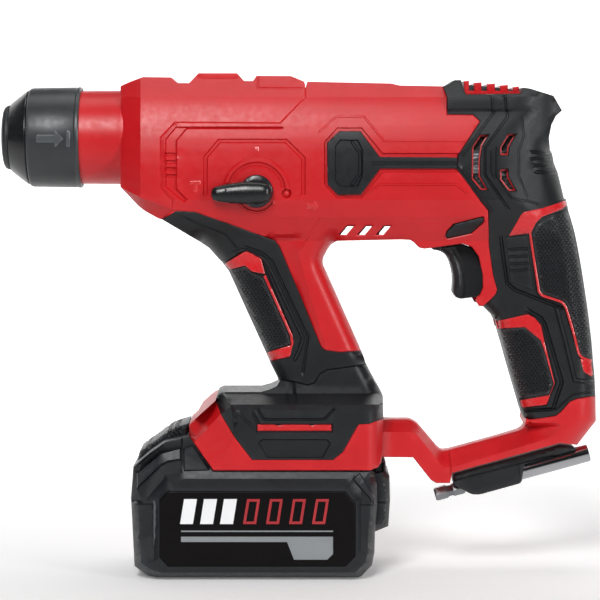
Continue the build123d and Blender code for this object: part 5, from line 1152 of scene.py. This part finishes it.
lathe("bit_shank", [(65.0, 0.0), (65.0, 3.5), (65.4, 3.62), (70.4, 3.62), (71.4, 3.0), (73.0, 3.0), (74.0, 3.62), (79.2, 3.62), (80.0, 3.1), (80.0, 0.0)], TE, TD,
      "gunmetal_hex", "bit_holder", nodes=("bit_holder",), n=6, start=math.radians(30))

# ---------------------------------------------------------------- work light
LENS = rounded([(-42.3, 83.4), (-42.1, 85.4), (-41.1, 87.4), (-39.1, 88.5), (-37.1, 88.5), (-37.1, 83.4)], 0.8, 3)
solid("light_lens", LENS, lambda P: 9.6 + 0 * P[:, 0], "lens_clear", "housing", "lens", nodes=("work_light_lens",), grid=1.4, bevel=0.5)

# ---------------------------------------------------------------- screw wells
for mat_, slot_ in (("red_shell", "red_plastic"), ("black_shell", "black_plastic"), ("soft_grip_skin", "soft_grip")):
    V, Fc = [], []
    for (cx, cz), h0, m_ in WELLS:
        if m_ != mat_:
            continue
        i0 = len(V)
        n = 24
        for r, y in ((4.0, 8.0), (4.0, h0 - 1.0), (3.2, h0 - 0.7), (3.2, 8.0)):
            for i in range(n):
                t = 2 * math.pi * i / n
                V.append((cx + r * math.cos(t), y, cz + r * math.sin(t)))
        for j in range(4):
            for i in range(n):
                a, b = i0 + j * n + i, i0 + j * n + (i + 1) % n
                c, d = i0 + ((j + 1) % 4) * n + (i + 1) % n, i0 + ((j + 1) % 4) * n + i
                Fc.append((a, b, c, d))
    if V:
        make("screw_wells_" + mat_, V, Fc, mat_, "housing")

# ---------------------------------------------------------------- stage
def pale(name, emit):
    """A pale matt surface that glows more and more towards the back of the studio."""
    fm = bpy.data.materials.new(name)
    fm.use_nodes = True
    fb = fm.node_tree.nodes["Principled BSDF"]
    nd, ln = fm.node_tree.nodes, fm.node_tree.links
    fb.inputs["Roughness"].default_value = 0.9
    fb.inputs["Specular IOR Level"].default_value = 0.1
    fb.inputs["Emission Color"].default_value = (1, 1, 1, 1)
    tc = nd.new("ShaderNodeTexCoord")
    sp = nd.new("ShaderNodeSeparateXYZ")
    ln.new(tc.outputs["Object"], sp.inputs[0])
    for (y0, y1, v0, v1), to in zip(emit, ("Emission Strength", "Base Color")):
        mr = nd.new("ShaderNodeMapRange")
        mr.interpolation_type = "SMOOTHSTEP"
        mr.inputs["From Min"].default_value = y0
        mr.inputs["From Max"].default_value = y1
        mr.inputs["To Min"].default_value = v0
        mr.inputs["To Max"].default_value = v1
        ln.new(sp.outputs["Y"], mr.inputs["Value"])
        ln.new(mr.outputs[0], fb.inputs[to])
    return fm


def backdrop():
    """A round pale studio floor, and round it a wall that is dim in front and bright behind."""
    n = 96
    for name, prof, emit in (("floor", [(0.0, 0.0), (0.4, 0.0), (1.2, 0.0), (2.4, 0.0)], ((-0.25, 0.7, 0.02, 0.75), (-0.7, -0.06, 0.30, 0.9))),
                             ("wall", [(2.4, 0.0), (3.0, 0.04), (3.5, 0.2), (3.85, 0.5), (4.0, 0.95), (4.05, 1.6), (4.05, 2.6)], ((1.2, 3.0, 0.0, 0.98), (-0.5, 2.4, 0.08, 0.9)))):
        V, Fs = [], []
        for r, z in prof:
            for i in range(n):
                t = 2 * math.pi * i / n
                V.append((r * math.cos(t), r * math.sin(t), z - 0.0006))
        for j in range(len(prof) - 1):
            for i in range(n):
                a, b = j * n + i, j * n + (i + 1) % n
                Fs.append((a, a + n, b + n, b) if prof[j][0] > 0 else (a, a + n, b + n))
        me = bpy.data.meshes.new(name)
        me.from_pydata(V, [], Fs)
        me.polygons.foreach_set("use_smooth", [True] * len(me.polygons))
        me.update()
        ob = bpy.data.objects.new(name, me)
        bpy.context.scene.collection.objects.link(ob)
        me.materials.append(pale(name + "_pale", emit))


backdrop()


def area_light(name, loc, target, size, power, size_y=None, color=(1, 1, 1)):
    l = bpy.data.lights.new(name, "AREA")
    l.energy = power
    l.size = size
    l.color = color
    if size_y:
        l.shape = "RECTANGLE"
        l.size_y = size_y
    o = bpy.data.objects.new(name, l)
    o.location = loc
    d = Vector(target) - Vector(loc)
    o.rotation_euler = d.to_track_quat("-Z", "Y").to_euler()
    bpy.context.scene.collection.objects.link(o)
    return o


area_light("key", (-0.28, -1.28, 1.06), (0.0, 0, 0.18), 0.50, 18.5, 0.60)
area_light("top", (0.0, 0.15, 1.2), (0, 0, 0.1), 1.0, 3.5, 0.5)
area_light("fill", (1.05, -0.95, 0.42), (0.05, 0, 0.17), 0.26, 7.5, 0.6)
area_light("back", (0.3, 1.2, 0.9), (0, 0, 0.15), 0.8, 2.0, 0.8)
w = bpy.data.worlds.new("studio")
bpy.context.scene.world = w
w.use_nodes = True
bg = w.node_tree.nodes["Background"]
bg.inputs["Color"].default_value = (1.0, 1.0, 1.0, 1)
bg.inputs["Strength"].default_value = 0.05
bpy.context.scene.view_settings.view_transform = "Standard"

cam = bpy.data.cameras.new("camera")
cam.lens = 140.73
cam.sensor_width = 36.0
cam.clip_end = 50.0
co = bpy.data.objects.new("camera", cam)
bpy.context.scene.collection.objects.link(co)
co.location = (0.0, -1.170, 0.21465)
co.rotation_euler = (math.radians(90 - 3.9116), 0.0, 0.0)
bpy.context.scene.camera = co
